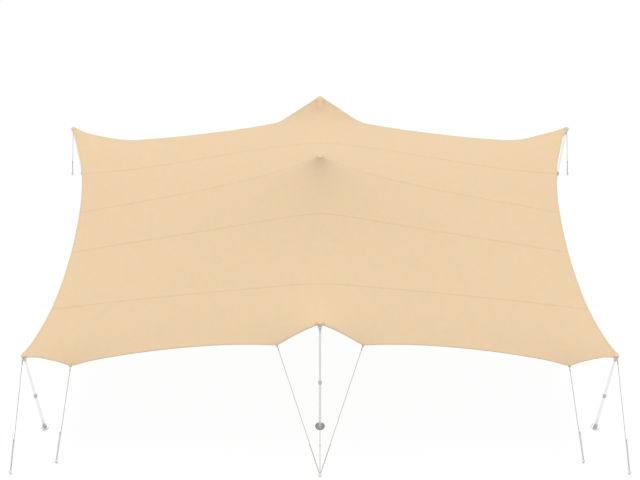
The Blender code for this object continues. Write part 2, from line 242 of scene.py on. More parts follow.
class Finish:
    """A material whose nodes are added by name, each linked to the sockets that it feeds."""

    def __init__(self, name, **sockets):
        self.material = bpy.data.materials.new(name)
        self.material.use_nodes = True
        self.tree = self.material.node_tree
        self.shader = self.tree.nodes["Principled BSDF"]
        for key, value in sockets.items():
            self.shader.inputs[SOCKETS[key]].default_value = value

    def node(self, kind, inputs, **settings):
        return add_node(self.tree, kind, inputs, **settings)

    def place(self, kind="Object", scale=(1, 1, 1)):
        source = self.node("TexCoord", {}).outputs[kind]
        return self.node("Mapping", {"Vector": source, "Scale": scale}).outputs["Vector"]

    def noise(self, place, scale, detail=2.0, roughness=0.5):
        inputs = {"Vector": place, "Scale": scale, "Detail": detail, "Roughness": roughness}
        return self.node("TexNoise", inputs).outputs["Fac"]

    def wave(self, place, scale, direction="X", distortion=0.0):
        inputs = {"Vector": place, "Scale": scale, "Distortion": distortion}
        return self.node("TexWave", inputs, bands_direction=direction).outputs["Fac"]

    def number(self, operation, first, second):
        return self.node("Math", {0: first, 1: second}, operation=operation).outputs[0]

    def spread(self, value, low, high, start=0.0, end=1.0):
        inputs = {"Value": value, "From Min": start, "From Max": end, "To Min": low, "To Max": high}
        return self.node("MapRange", inputs).outputs["Result"]

    def ramp(self, value, *stops):
        item = self.node("ValToRGB", {"Fac": value})
        elements = item.color_ramp.elements
        while len(elements) < len(stops):
            elements.new(0.5)
        for element, (position, colour) in zip(elements, stops):
            element.position = position
            element.color = (*colour, 1)
        return item.outputs["Color"]

    def tones(self, value, colour, change, start=0.3, end=0.7):
        """The colour, from a little darker to a little lighter as the value rises."""
        stops = zip((start, 0.5, end), (1 - change, 1, 1 + change))
        return self.ramp(value, *((at, tinted(colour, (share,) * 3)) for at, share in stops))

    def shade(self, colour, value):
        """The colour, multiplied by a value."""
        item = self.node("VectorMath", {0: colour}, operation="SCALE")
        self.tree.links.new(value, item.inputs["Scale"])
        return item.outputs["Vector"]

    def colour(self, output):
        self.tree.links.new(output, self.shader.inputs["Base Color"])

    def rough(self, output):
        self.tree.links.new(output, self.shader.inputs["Roughness"])

    def bump(self, height, strength, distance):
        inputs = {"Height": height, "Strength": strength, "Distance": distance}
        item = self.node("Bump", inputs)
        self.tree.links.new(item.outputs["Normal"], self.shader.inputs["Normal"])


def fabric_finish(name, colour, wale, weave=0.10):
    """Knitted stretch fabric: ribs along the strips, courses across them, and faint mottling."""
    finish = Finish(name, roughness=0.86, sheen=0.06, sheen_roughness=0.5, specular=0.2)
    cloth = finish.place("UV")
    ribs = finish.wave(cloth, bands(wale), "X")
    courses = finish.wave(cloth, bands(wale) * 1.3, "Y")
    knit = finish.number("MULTIPLY", ribs, courses)
    large = finish.noise(cloth, 2.4, 5.0, 0.65)
    small = finish.noise(cloth, 9.0, 3.0, 0.6)
    cool, warm = tinted(colour, COOL), tinted(colour, WARM)
    tone = finish.ramp(large, (0.3, cool), (0.5, colour), (0.7, warm))
    tone = finish.shade(tone, finish.spread(small, 0.985, 1.015, 0.3, 0.7))
    finish.colour(finish.shade(tone, finish.spread(knit, 0.985, 1.01)))
    finish.rough(finish.spread(small, 0.82, 0.9))
    finish.bump(knit, weave, 0.4 * MM)
    return finish.material


def webbing_finish(name, colour):
    finish = Finish(name, roughness=0.7, sheen=0.1, specular=0.3)
    place = finish.place()
    warp = finish.wave(place, 130.0, "DIAGONAL")
    grain = finish.noise(place, 60.0, 3.0)
    finish.colour(finish.tones(grain, colour, 0.08))
    finish.rough(finish.spread(grain, 0.6, 0.8))
    finish.bump(warp, 0.35, 0.6 * MM)
    return finish.material


def thread_finish(name, colour):
    finish = Finish(name, roughness=0.55, specular=0.4)
    grain = finish.noise(finish.place(), 900.0, 2.0)
    finish.colour(finish.tones(grain, colour, 0.06))
    finish.bump(grain, 0.2, 0.2 * MM)
    return finish.material


def rope_finish(name, colour):
    finish = Finish(name, roughness=0.75, sheen=0.15, specular=0.3)
    place = finish.place()
    fibres = finish.noise(finish.place(scale=(1, 1, 0.15)), 700.0, 3.0)
    grime = finish.noise(place, 5.0, 4.0)
    tone = finish.tones(fibres, colour, 0.07)
    finish.colour(finish.shade(tone, finish.spread(grime, 0.94, 1.02, 0.3, 0.7)))
    finish.bump(fibres, 0.4, 0.5 * MM)
    return finish.material


def tube_finish(name, colour):
    """Satin anodised tube: fine lengthwise drawing marks, soft handling marks and a dusty foot."""
    finish = Finish(name, metallic=1.0, roughness=0.35)
    drawn = finish.noise(finish.place(scale=(1, 1, 0.02)), 420.0, 2.0)
    marks = finish.noise(finish.place(scale=(1, 1, 0.5)), 22.0, 5.0, 0.65)
    height = finish.node("SeparateXYZ", {"Vector": finish.place()}).outputs["Z"]
    dust = finish.spread(height, 0.86, 1.0, 0.0, 0.35)
    finish.colour(finish.shade(finish.tones(marks, colour, 0.05, end=0.72), dust))
    finish.rough(finish.spread(marks, 0.28, 0.46, 0.3, 0.7))
    finish.bump(drawn, 0.12, 0.15 * MM)
    return finish.material


def steel_finish(name, colour):
    """Galvanised steel: spangle, dull patches and small pits."""
    finish = Finish(name, metallic=1.0, roughness=0.45)
    place = finish.place()
    spangle = finish.node("TexVoronoi", {"Vector": place, "Scale": 130.0}).outputs["Color"]
    grey = finish.node("SeparateColor", {"Color": spangle}).outputs["Red"]
    pits = finish.noise(place, 400.0, 4.0, 0.7)
    finish.colour(finish.tones(grey, colour, 0.12, 0.0, 1.0))
    finish.rough(finish.spread(finish.noise(place, 35.0, 4.0), 0.35, 0.6, 0.3, 0.7))
    finish.bump(pits, 0.25, 0.3 * MM)
    return finish.material


def rubber_finish(name, colour):
    finish = Finish(name, roughness=0.62, specular=0.45)
    place = finish.place()
    grain = finish.noise(place, 650.0, 3.0)
    wear = finish.noise(place, 30.0, 5.0, 0.65)
    finish.colour(finish.tones(wear, colour, 0.12, start=0.35))
    finish.rough(finish.spread(wear, 0.5, 0.72, 0.3, 0.7))
    finish.bump(grain, 0.3, 0.3 * MM)
    return finish.material


CANOPY_COLOUR = (0.815, 0.616, 0.397)
HEM_COLOUR = (0.80, 0.60, 0.381)
SEAM_COLOUR = (0.773, 0.585, 0.378)

canopy_fabric = fabric_finish("canopy_knit", CANOPY_COLOUR, 1.3 * MM)
hem_fabric = fabric_finish("hem_knit", HEM_COLOUR, 1.1 * MM, 0.2)
seam_fabric = fabric_finish("seam_knit", SEAM_COLOUR, 1.1 * MM, 0.2)
cap_fabric = fabric_finish("cap_knit", CANOPY_COLOUR, 1.1 * MM, 0.2)
patch_fabric = fabric_finish("patch_knit", SEAM_COLOUR, 1.0 * MM, 0.25)
thread = thread_finish("sewing_thread", (0.70, 0.53, 0.35))
webbing = webbing_finish("webbing", (0.775, 0.585, 0.375))
rope_fibre = rope_finish("braided_rope", (0.80, 0.74, 0.62))
whipping = thread_finish("whipping_twine", (0.62, 0.52, 0.38))
pole_tube = tube_finish("anodised_tube", (0.87, 0.87, 0.865))
steel = steel_finish("galvanised_steel", (0.70, 0.71, 0.715))
rubber = rubber_finish("pale_rubber", (0.87, 0.86, 0.84))
polymer = rubber_finish("pale_polymer", (0.86, 0.85, 0.83))


# Meshes

class Shape:
    """Vertices and faces that are gathered into one piece."""

    def __init__(self):
        self.vertices = []
        self.faces = []
        self.slots = []
        self.places = []
        self.count = 0

    def add(self, vertices, faces, slot=0, places=None):
        vertices = np.asarray(vertices, float).reshape(-1, 3)
        places = vertices[:, :2] if places is None else np.asarray(places, float).reshape(-1, 2)
        self.vertices.append(vertices)
        self.places.append(places)
        self.faces += [[corner + self.count for corner in face] for face in faces]
        self.slots += [slot] * len(faces)
        self.count += len(vertices)

    def tube(self, rings, slot=0, places=None, closed=False):
        """A tube of rings, with its ends shut or joined to each other."""
        count, sides = rings.shape[:2]
        self.add(rings, tube_faces(count, sides, closed), slot, places)

    def sheet(self, top, bottom, slot=0, places=None):
        """A thin sheet between two grids of points, shut round its edge."""
        rows, columns = top.shape[:2]
        number = np.arange(rows * columns).reshape(rows, columns)
        under = rows * columns
        border = [*number[0], *number[1:, -1], *number[-1, -2::-1], *number[-2:0:-1, 0]]
        faces = grid_faces(rows, columns)
        faces += [[corner + under for corner in face[::-1]] for face in faces]
        for first, second in zip(border, border[1:] + border[:1]):
            faces.append([int(first), int(first) + under, int(second) + under, int(second)])
        if places is not None:
            places = np.concatenate([places.reshape(-1, 2)] * 2)
        self.add(np.concatenate([top.reshape(-1, 3), bottom.reshape(-1, 3)]), faces, slot, places)

    def pipe(self, points, radii, sides, slot=0, closed=False):
        """A round tube along a line, with one radius or one for each point."""
        side, up = carried_frames(points, closed)
        turns = np.arange(sides) * TURN / sides
        ring = side[:, None] * np.cos(turns)[:, None] + up[:, None] * np.sin(turns)[:, None]
        radii = np.broadcast_to(radii, len(points))[:, None, None]
        self.tube(points[:, None] + ring * radii, slot, closed=closed)

    def make(self, name, materials, stands_for=(), sharp=40):
        mesh = bpy.data.meshes.new(name)
        mesh.from_pydata(np.concatenate(self.vertices).tolist(), [], self.faces)
        work = bmesh.new()
        work.from_mesh(mesh)
        bmesh.ops.recalc_face_normals(work, faces=work.faces)
        work.to_mesh(mesh)
        work.free()
        places = np.concatenate(self.places)
        corners = np.zeros(len(mesh.loops), np.int32)
        mesh.loops.foreach_get("vertex_index", corners)
        layer = mesh.uv_layers.new(name="Cloth")
        layer.uv.foreach_set("vector", places[corners].astype(np.float32).ravel())
        for material in materials:
            mesh.materials.append(material)
        mesh.polygons.foreach_set("material_index", self.slots)
        mesh.shade_smooth()
        mesh.set_sharp_from_angle(angle=math.radians(sharp))
        piece = bpy.data.objects.new(name, mesh)
        bpy.context.scene.collection.objects.link(piece)
        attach(piece, "root")
        if stands_for:
            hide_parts(*stands_for)
        return piece


def tube_faces(rings, sides, closed=False):
    ring = np.arange(rings if closed else rings - 1)[:, None]
    side = np.arange(sides)[None, :]
    here, there = ring * sides, (ring + 1) % rings * sides
    after = (side + 1) % sides
    quads = np.stack([here + side, here + after, there + after, there + side], axis=-1)
    faces = quads.reshape(-1, 4).tolist()
    if not closed:
        faces.append(list(range(sides))[::-1])
        faces.append(list(range((rings - 1) * sides, rings * sides)))
    return faces


def grid_faces(rows, columns):
    row = np.arange(rows - 1)[:, None] * columns
    here = row + np.arange(columns - 1)[None, :]
    there = here + columns
    quads = np.stack([here, here + 1, there + 1, there], axis=-1)
    return quads.reshape(-1, 4).tolist()


def turned_rings(profile, place, sides, ripple=None):
    """Rings about the upright axis through place, from (radius, height) pairs."""
    turns = np.arange(sides) * TURN / sides
    profile = np.asarray(profile, float)
    radii = np.repeat(profile[:, :1], sides, axis=1)
    if ripple is not None:
        radii = radii + ripple(turns[None, :], profile[:, 1:])
    heights = np.repeat(profile[:, 1:], sides, axis=1)
    rings = np.stack([radii * np.cos(turns), radii * np.sin(turns), heights], axis=-1)
    return rings + np.asarray(place, float)


def wrap_places(rings):
    """Cloth places on a turned piece: round it, as if it were of one radius, and up it."""
    sides = rings.shape[1]
    return grid_of(np.arange(sides) * TURN / sides * WRAP_RADIUS, rings[:, :1, 2] + rings[:, :1, 0])


# The cloth

def spread(start, end, cells, grading=1.0):
    """Lines from start to end, closer together near start where grading is over one."""
    return start + (end - start) * (np.arange(cells + 1) / cells) ** grading


def net_lines():
    """Lines of the slack cloth: across the tent at x, and along it at y, front to back."""
    half = np.concatenate([
        spread(0, INNER_TIE_LINE, CELLS_ALONG[0], CENTRE_GRADING),
        spread(INNER_TIE_LINE, OUTER_TIE_LINE, CELLS_ALONG[1])[1:],
        spread(HALF_LENGTH, OUTER_TIE_LINE, CELLS_ALONG[2], EDGE_GRADING)[-2::-1],
    ])
    seams = [share * DEPTH for share in (0.0, *SEAM_SHARES, 1.0)]
    across = np.concatenate([
        spread(seams[0], seams[1], CELLS_ACROSS[0], EDGE_GRADING)[:-1],
        spread(seams[1], seams[2], CELLS_ACROSS[1])[:-1],
        spread(seams[3], seams[2], CELLS_ACROSS[2], PEAK_GRADING)[:0:-1],
        spread(seams[3], seams[4], CELLS_ACROSS[3], PEAK_GRADING)[:-1],
        spread(seams[5], seams[4], CELLS_ACROSS[4], EDGE_GRADING)[::-1],
    ])
    return np.concatenate([-half[::-1], half[1:]]), across - HALF_DEPTH


def nearest(lines, value):
    return int(np.argmin(abs(lines - value)))


def node_widths(cells):
    """Width of cloth that each line carries: half of the cell on either side."""
    return (np.concatenate([[0], cells]) + np.concatenate([cells, [0]])) / 2


def held_nodes(x, y):
    """Which nodes are held, and where."""
    reach = np.hypot(x[None, :], y[:, None] - PEAK_Y)
    held = reach <= HEAD_REACH
    drop = reach ** 2 / (2 * HEAD_CURVE)
    places = grid_of(x[None, :], y[:, None], PEAK_HEIGHT - drop)
    for end, sign_y in ENDS.items():
        inward = HALF_DEPTH - sign_y * y[:, None]
        (reach_x, reach_y), (curve_x, curve_y) = MIDDLE_REACH[end], MIDDLE_CURVE[end]
        over_head = np.hypot(x[None, :] / reach_x, inward / reach_y) <= 1
        drop = x[None, :] ** 2 / (2 * curve_x) + inward ** 2 / (2 * curve_y)
        height = MIDDLE_TIP_HEIGHT[end] - MIDDLE_SINK[end] - drop
        draped = grid_of(x[None, :], sign_y * (MIDDLE_TIP_Y - inward), height)
        held |= over_head
        places[over_head] = draped[over_head]
        row = 0 if end == "front" else len(y) - 1
        corner = (CORNER_REACH[end], HALF_DEPTH, CORNER_HEIGHT[end])
        lines = (HALF_LENGTH, OUTER_TIE_LINE, INNER_TIE_LINE)
        for line, place in zip(lines, (corner, OUTER_TIE[end], INNER_TIE[end])):
            for sign_x in SIDES.values():
                column = nearest(x, sign_x * line)
                held[row, column] = True
                places[row, column] = np.array(place) * (sign_x, sign_y, 1)
    return held, places


def find_net(x, y):
    """The nodes' places where every free one is in balance, solved one line across after another."""
    step_x, step_y = np.diff(x), np.diff(y)
    pull_x = CROSS_PULL * node_widths(step_y)[:, None] / step_x
    from_middle = abs(x[1:] + x[:-1]) / 2
    pull_x[nearest(y, PEAK_Y)] += PEAK_SEAM_PULL * np.exp(-(from_middle / PEAK_SEAM_REACH) ** 4) / step_x
    between_inner_ties = from_middle < INNER_TIE_LINE
    pull_x[[0, -1]] += np.where(between_inner_ties, MIDDLE_HEM_PULL, LONG_HEM_PULL) / step_x
    ridge = 1 + RIDGE_PULL * np.exp(-(x / RIDGE_WIDTH) ** 2)
    pull_y = node_widths(step_x) * ridge / step_y[:, None]
    in_front = (y[1:] + y[:-1]) / 2 < SEAM_SHARES[1] * DEPTH - HALF_DEPTH
    side_hem_pull = np.where(in_front, SIDE_HEM_PULL["front"], SIDE_HEM_PULL["back"])
    pull_y[:, [0, -1]] += (side_hem_pull / step_y)[:, None]
    held, places = held_nodes(x, y)
    rows, columns = held.shape
    pull_x = np.pad(pull_x, ((0, 0), (1, 1)))

    share, offset = np.zeros((rows, rows)), np.zeros((rows, 3))
    ahead = []
    for column in range(columns):
        up = pull_y[:, column]
        before, after = pull_x[:, column], pull_x[:, column + 1]
        total = before + after + np.pad(up, (0, 1)) + np.pad(up, (1, 0))
        balance = np.diag(total) - np.diag(up, 1) - np.diag(up, -1) - before[:, None] * share
        load = before[:, None] * offset
        fixed = held[:, column]
        balance[fixed] = np.eye(rows)[fixed]
        load[fixed] = places[fixed, column]
        inverse = np.linalg.inv(balance)
        share, offset = inverse * np.where(fixed, 0, after), inverse @ load
        ahead.append((share, offset))
    net = np.zeros((rows, columns, 3))
    net[:, -1] = offset
    for column in range(columns - 2, -1, -1):
        share, offset = ahead[column]
        net[:, column] = share @ net[:, column + 1] + offset
    return net


class Cloth:
    """The canopy's middle surface, found from slack places."""

    def __init__(self):
        self.x, self.y = net_lines()
        self.net = find_net(self.x, self.y)
        along = np.gradient(self.net, self.x, axis=1)
        across = np.gradient(self.net, self.y, axis=0)
        self.normals = unit(np.cross(along, across))

    def at(self, x, y):
        """Places and normals on the pulled cloth at slack places."""
        x, y = np.broadcast_arrays(np.asarray(x, float), np.asarray(y, float))
        column = np.clip(np.searchsorted(self.x, x) - 1, 0, len(self.x) - 2)
        row = np.clip(np.searchsorted(self.y, y) - 1, 0, len(self.y) - 2)
        share_x = ((x - self.x[column]) / (self.x[column + 1] - self.x[column]))[..., None]
        share_y = ((y - self.y[row]) / (self.y[row + 1] - self.y[row]))[..., None]

        def mix(values):
            front = values[row, column] * (1 - share_x) + values[row, column + 1] * share_x
            back = values[row + 1, column] * (1 - share_x) + values[row + 1, column + 1] * share_x
            return front * (1 - share_y) + back * share_y

        return mix(self.net), unit(mix(self.normals))

    def drawn_in(self, x, y):
        """Slack places with the edge moved in to the hem's fold, save at the corners."""
        from_tips_x = HALF_LENGTH - abs(x)
        from_tips_y = HALF_DEPTH - abs(y)
        trims = {
            name: curve_through(y if name in SIDES else x, knots) * MM
            for name, knots in HEM_TRIMS.items()
        }
        inset_x = np.where(x < 0, trims["left"], trims["right"]) * smooth_step(from_tips_y / HEM_FLARE_REACH)
        inset_y = np.where(y < 0, trims["front"], trims["back"]) * smooth_step(from_tips_x / HEM_FLARE_REACH)
        return x * (1 - inset_x / HALF_LENGTH), y * (1 - inset_y / HALF_DEPTH)

    def hem_lines(self):
        """Slack places along each hem's fold, anticlockwise."""
        x, y = self.x, self.y
        centre = len(x) // 2
        front, back = np.full(len(x), -HALF_DEPTH), np.full(len(x), HALF_DEPTH)
        left, right = np.full(len(y), -HALF_LENGTH), np.full(len(y), HALF_LENGTH)
        lines = {
            "front_left": (x[:centre + 1], front[:centre + 1]),
            "front_right": (x[centre:], front[centre:]),
            "right": (right, y),
            "back_right": (x[:centre - 1:-1], back[:centre - 1:-1]),
            "back_left": (x[centre::-1], back[centre::-1]),
            "left": (left, y[::-1]),
        }
        return {name: np.stack(self.drawn_in(*line), axis=1) for name, line in lines.items()}


cloth = Cloth()


def tips():
    """Where each cap sits: its name, place, and place on the slack cloth."""
    places = {}
    for end, sign_y in ENDS.items():
        middle = np.array((0.0, sign_y * MIDDLE_TIP_Y, MIDDLE_TIP_HEIGHT[end]))
        places[f"{end}_middle"] = (middle, (0.0, sign_y * HALF_DEPTH))
        for side, sign_x in SIDES.items():
            corner = np.array((sign_x * CORNER_REACH[end], sign_y * HALF_DEPTH, CORNER_HEIGHT[end]))
            places[f"{end}_{side}"] = (corner, (sign_x * HALF_LENGTH, sign_y * HALF_DEPTH))
    places["centre"] = (np.array((0.0, PEAK_Y, PEAK_HEIGHT)), (0.0, PEAK_Y))
    return places


caps = tips()


# Sewing

STITCH_STEP = 9 * MM
STITCH_LENGTH = 7 * MM
STITCH_WIDTH = 1.5 * MM
STITCH_RISE = 0.9 * MM


def add_stitches(shape, points, normals, slot=0, step=STITCH_STEP):
    """Short threads laid along a line on the cloth, each a spindle of six faces."""
    line, at = resample(points, step)
    middles = (line[1:] + line[:-1]) / 2
    along = unit(np.diff(line, axis=0))
    steps = np.linspace(0, len(points) - 1, len(at))
    up = columns_at(steps, np.arange(len(points)), normals)
    up = unit((up[1:] + up[:-1]) / 2)
    side = unit(np.cross(along, up))
    half = along * min(STITCH_LENGTH, step * 0.8) / 2
    spindle = np.stack([
        middles - half,
        middles + side * STITCH_WIDTH / 2,
        middles + up * STITCH_RISE,
        middles - side * STITCH_WIDTH / 2,
        middles + half,
    ], axis=1)
    corners = np.array([(0, 1, 2), (0, 2, 3), (0, 3, 1), (4, 2, 1), (4, 3, 2), (4, 1, 3)])
    faces = (np.arange(len(middles))[:, None, None] * 5 + corners[None]).reshape(-1, 3)
    shape.add(spindle, faces.tolist(), slot)


# Canopy

def make_canopy():
    """The whole sheet in one piece."""
    slack = np.stack(cloth.drawn_in(*np.meshgrid(cloth.x, cloth.y)), axis=-1)
    places, normals = cloth.at(slack[..., 0], slack[..., 1])
    offset = normals * CLOTH_THICKNESS / 2
    shape = Shape()
    shape.sheet(places + offset, places - offset, 0, slack)
    nodes = [f"panel_{name}" for name in ("front", "front_middle", "middle", "back_middle", "back")]
    return shape.make("canopy", [canopy_fabric], nodes, sharp=60)


SEAM_SECTION = np.array([
    (-11, 0.7), (-10, 2.0), (-7.5, 1.9), (-3.5, 2.6), (3.5, 2.6), (7.5, 1.9), (10, 2.0), (11, 0.7),
    (9, -1.4), (3, -1.9), (-3, -1.9), (-9, -1.4),
]) * MM
SEAM_STITCH_OFFSETS = (-7.5 * MM, 7.5 * MM)
SEAM_STITCH_LIFT = 1.7 * MM
SEAM_STITCH_END = 26 * MM
SEAM_STITCH_POINTS = 1200

# How far each seam bends: factors of the terms in seam_line, in mm
SEAM_BOWS = np.array([
    (-37, 79, 18, -109, 0),
    (11, -123, 152, -4, 0),
    (-53, 90, 17, -54, 2892),
    (-76, 714, -1164, 565, 0),
]) * MM
SEAM_EASE = 0.04
SEAM_NEAR_PEAK = 0.12


def seam_line(number, x):
    """Slack places across the tent of a seam, which bends a little as it runs along."""
    reach = np.hypot(x / HALF_LENGTH, SEAM_EASE)
    near_peak = reach * np.exp(-reach / SEAM_NEAR_PEAK)
    bow = grid_of(1.0, reach, reach ** 2, reach ** 4, near_peak) @ SEAM_BOWS[number]
    return SEAM_SHARES[number] * DEPTH - HALF_DEPTH + bow


def make_seam(number):
    """A flat-felled seam over the canopy, with its two rows of stitches."""
    x, _ = cloth.drawn_in(cloth.x, seam_line(number, cloth.x))
    across, up = SEAM_SECTION[:, 0], SEAM_SECTION[:, 1]
    y = seam_line(number, x)[:, None] + across[None, :]
    places, normals = cloth.at(x[:, None], y)
    shape = Shape()
    rings = places + normals * up[None, :, None]
    shape.tube(rings, 0, grid_of(x[:, None], y))
    fine = np.linspace(x[0] + SEAM_STITCH_END, x[-1] - SEAM_STITCH_END, SEAM_STITCH_POINTS)
    for offset in SEAM_STITCH_OFFSETS:
        places, normals = cloth.at(fine, seam_line(number, fine) + offset)
        add_stitches(shape, places + normals * SEAM_STITCH_LIFT, normals, 1)
    return shape.make(f"seam_{number + 1}", [seam_fabric, thread], sharp=50)


# Hems

HEM_SECTION = np.array([
    (-12, 0.7), (-11, 1.7), (-4, 1.9), (6, 1.9), (13, 2.1), (18, 2.8), (23, 2.9), (26.6, 1.8),
    (29, -0.7), (30, -4.2), (29.9, -9), (28.6, -12.6), (25.8, -14.8), (22.4, -14.6), (20.2, -12),
    (19.2, -8), (17, -4.2), (12.5, -2.3), (6, -1.9), (-4, -1.9), (-11, -1.7), (-12, -0.7),
]) * MM
HEM_STEP = 12 * MM
HEM_STITCH_PLACE = 7 * MM
HEM_STITCH_LIFT = 1.8 * MM
HEM_SWELL = 0.4
HEM_BEAD_REACH = 12 * MM
HEM_SMOOTHING = 9
FLARE_REACH = 0.11
FLARE_SHIFT = 9 * MM
FOLLOW_CLOTH = (22 * MM, 40 * MM)

# Uneven thickness along the hem: share, wavelength and phase of each ripple
HEM_PUCKERS = ((0.04, 58 * MM, 0.0), (0.03, 91 * MM, 1.0))


class HemLine:
    """A hem's fold line, with its outward and upward directions and the length run along it."""

    def __init__(self, slack):
        points, normals = cloth.at(slack[:, 0], slack[:, 1])
        self.place, self.run = resample(points, HEM_STEP)
        lengths = run_along(points)
        normals = columns_at(self.run, lengths, normals)
        weights = np.hanning(HEM_SMOOTHING)
        weights = weights / weights.sum()
        padded = np.pad(normals, ((HEM_SMOOTHING // 2,) * 2, (0, 0)), mode="edge")
        smoothed = [np.convolve(column, weights, "valid") for column in padded.T]
        self.slack = columns_at(self.run, lengths, slack)
        along = tangents(self.place)
        along[abs(self.slack[:, 0]) < MM, 1:] = 0
        self.outward = unit(np.cross(along, unit(np.stack(smoothed, axis=1))))
        self.upward = unit(np.cross(self.outward, along))

    def at(self, run, out, up):
        """Places beside the line, which follow the cloth further in than the hem."""
        run, out, up = np.broadcast_arrays(np.asarray(run, float), out, up)
        place, outward, upward, slack = (
            columns_at(run, self.run, columns)
            for columns in (self.place, self.outward, self.upward, self.slack)
        )
        beside = place + outward * out[..., None] + upward * up[..., None]
        across = slack[..., 1] - np.sign(slack[..., 1]) * np.maximum(-out, 0)
        on_cloth, normals = cloth.at(slack[..., 0], across)
        start, end = FOLLOW_CLOTH
        share = smooth_step((-out - start) / (end - start))[..., None]
        return beside * (1 - share) + (on_cloth + normals * up[..., None]) * share

    def nearest_run(self, x):
        return self.run[np.argmin(abs(self.slack[:, 0] - x))]


hems = {name: HemLine(slack) for name, slack in cloth.hem_lines().items()}


def make_hem(name, hem):
    from_end = np.minimum(hem.run, hem.run[-1] - hem.run)
    flare = smooth_step(1 - from_end / FLARE_REACH)[:, None]
    ripples = (size * np.sin(hem.run * TURN / wave + phase) for size, wave, phase in HEM_PUCKERS)
    swell = (1 + sum(ripples)[:, None]) * (1 + HEM_SWELL * flare)
    out, up = HEM_SECTION[None, :, 0], HEM_SECTION[None, :, 1]
    bead = smooth_step(out / HEM_BEAD_REACH)
    out = out + flare * FLARE_SHIFT * bead
    up = up * (1 + (swell - 1) * (0.3 + 0.7 * bead))
    rings = hem.place[:, None] + hem.outward[:, None] * out[..., None]
    rings = rings + hem.upward[:, None] * up[..., None]
    shape = Shape()
    shape.tube(rings, 0, grid_of(hem.run[:, None], run_along(HEM_SECTION)))
    for sign in (1, -1):
        stitched = hem.place + hem.outward * HEM_STITCH_PLACE + hem.upward * sign * HEM_STITCH_LIFT
        add_stitches(shape, stitched, hem.upward * sign, 1)
    return shape.make(f"hem_{name}_rolled", [hem_fabric, thread], [f"hem_{name}"], sharp=60)


# Tabs where the hem is tied down

TAB_HALF_WIDTH = 19 * MM
TAB_PATH = np.array([
    (-19, 1.9), (-16, 2.4), (-11, 3.0), (-4, 3.2), (6, 3.2), (13, 3.4), (18, 4.1), (23, 4.2),
    (27.4, 2.9), (31, 0.2), (34, -2.6), (38.5, -3.0), (42.8, -2.3), (46.4, -3.6), (47.8, -7),
    (46.4, -10.4), (42.8, -11.7), (38.5, -11.2), (34.5, -12.6), (30.5, -15.4), (26, -16.6),
    (22, -16.2), (18.6, -12.6), (17.2, -8.2), (14.8, -5.2), (10, -3.5), (2, -3.1), (-10, -3.1),
    (-22, -2.6), (-46, -1.9), (-66, -1.9),
]) * MM
TAB_THICKNESS = 1.5 * MM
BAR_PLACE = (42.8 * MM, -7 * MM)
D_WIRE = 2.7 * MM
D_RADIUS = 21 * MM
BOX_ENDS = (-4 * MM, -60 * MM)
TAB_MARGIN = 4 * MM
TAB_TOP_ROWS = (-15 * MM, -10 * MM)
FINE_STITCH_STEP = 6 * MM

# The corners in the order in which the box is sewn: round it and along both diagonals
BOX_ORDER = (0, 1, 2, 3, 0, 2, 3, 1)


def tab_level(outs, sign):
    """How high the webbing's outer face lies over the hem, on its upper or its lower side."""
    line = TAB_PATH[:8] if sign > 0 else TAB_PATH[:-10:-1]
    return np.interp(outs, line[:, 0], line[:, 1]) + sign * TAB_THICKNESS / 2


def make_tab(end, side, which):
    """A webbing tab sewn over the hem, with the D-ring that its rope pulls on."""
    sign_x = SIDES[side]
    hem = hems[f"{end}_{side}"]
    line = OUTER_TIE_LINE if which == "tie" else INNER_TIE_LINE
    middle = hem.nearest_run(sign_x * line)
    fine, run = resample(TAB_PATH, 3 * MM)
    turn = tangents(fine)
    away = np.stack([-turn[:, 1], turn[:, 0]], axis=1) * TAB_THICKNESS / 2
    stations = middle + np.linspace(-TAB_HALF_WIDTH, TAB_HALF_WIDTH, 7)
    faces = (fine + sign * away for sign in (1, -1))
    top, bottom = (hem.at(stations[None, :], face[:, :1], face[:, 1:]) for face in faces)
    shape = Shape()
    shape.sheet(top, bottom, 0, grid_of(stations[None, :], run[:, None]))
    (near, far), edge = BOX_ENDS, TAB_HALF_WIDTH - TAB_MARGIN
    corners = [(near, -edge), (far, -edge), (far, edge), (near, edge)]
    box = [corners[number] for number in BOX_ORDER]
    rows = [(-1, *ends) for ends in zip(box, box[1:])]
    rows += [(1, (out, -edge), (out, edge)) for out in TAB_TOP_ROWS]
    for sign, (out_a, off_a), (out_b, off_b) in rows:
        share = np.linspace(0, 1, 13)
        outs, runs = out_a + (out_b - out_a) * share, middle + off_a + (off_b - off_a) * share
        level = tab_level(outs, sign)
        points = hem.at(runs, outs, level)
        normals = unit(hem.at(runs, outs, level + sign * 6 * MM) - points)
        add_stitches(shape, points, normals, 1, FINE_STITCH_STEP)

    bar_start, bar_end = hem.at(middle + np.array((-D_RADIUS, D_RADIUS)), *BAR_PLACE)
    bar_middle = (bar_start + bar_end) / 2
    across = unit(bar_end - bar_start)
    stake = STAKES[f"guy_stake_{end}_middle" if which == "guy" else f"tie_stake_{end}_{side}"]
    pull = unit(np.array((*stake, LOOP_LEVEL)) - bar_middle)
    pull = unit(pull - across * (pull @ across))
    turns = np.radians(np.linspace(0, 180, 21))[:, None]
    bow = bar_middle + across * np.cos(turns) * D_RADIUS + pull * np.sin(turns) * D_RADIUS
    straight = bar_middle + across * np.linspace(-D_RADIUS, D_RADIUS, 9)[1:-1, None]
    shape.pipe(np.concatenate([bow, straight]), D_WIRE, 10, 2, closed=True)
    tab = shape.make(f"tab_{end}_{side}_{which}", [webbing, thread, steel], sharp=50)
    return tab, Hold(bar_middle + pull * D_RADIUS, across, D_WIRE)


# Patches under the fabric at the poles

PATCH_OFFSETS = (0.9 * MM, 2.6 * MM)
PATCH_EDGE = 58 * MM
PATCH_TURN_STEP = 5

# Inner and outer reach of each kind of patch
PATCH_REACHES = {"centre": (0.075, 0.24), "middle": (0.07, 0.26), "corner": (0.085, 0.32)}


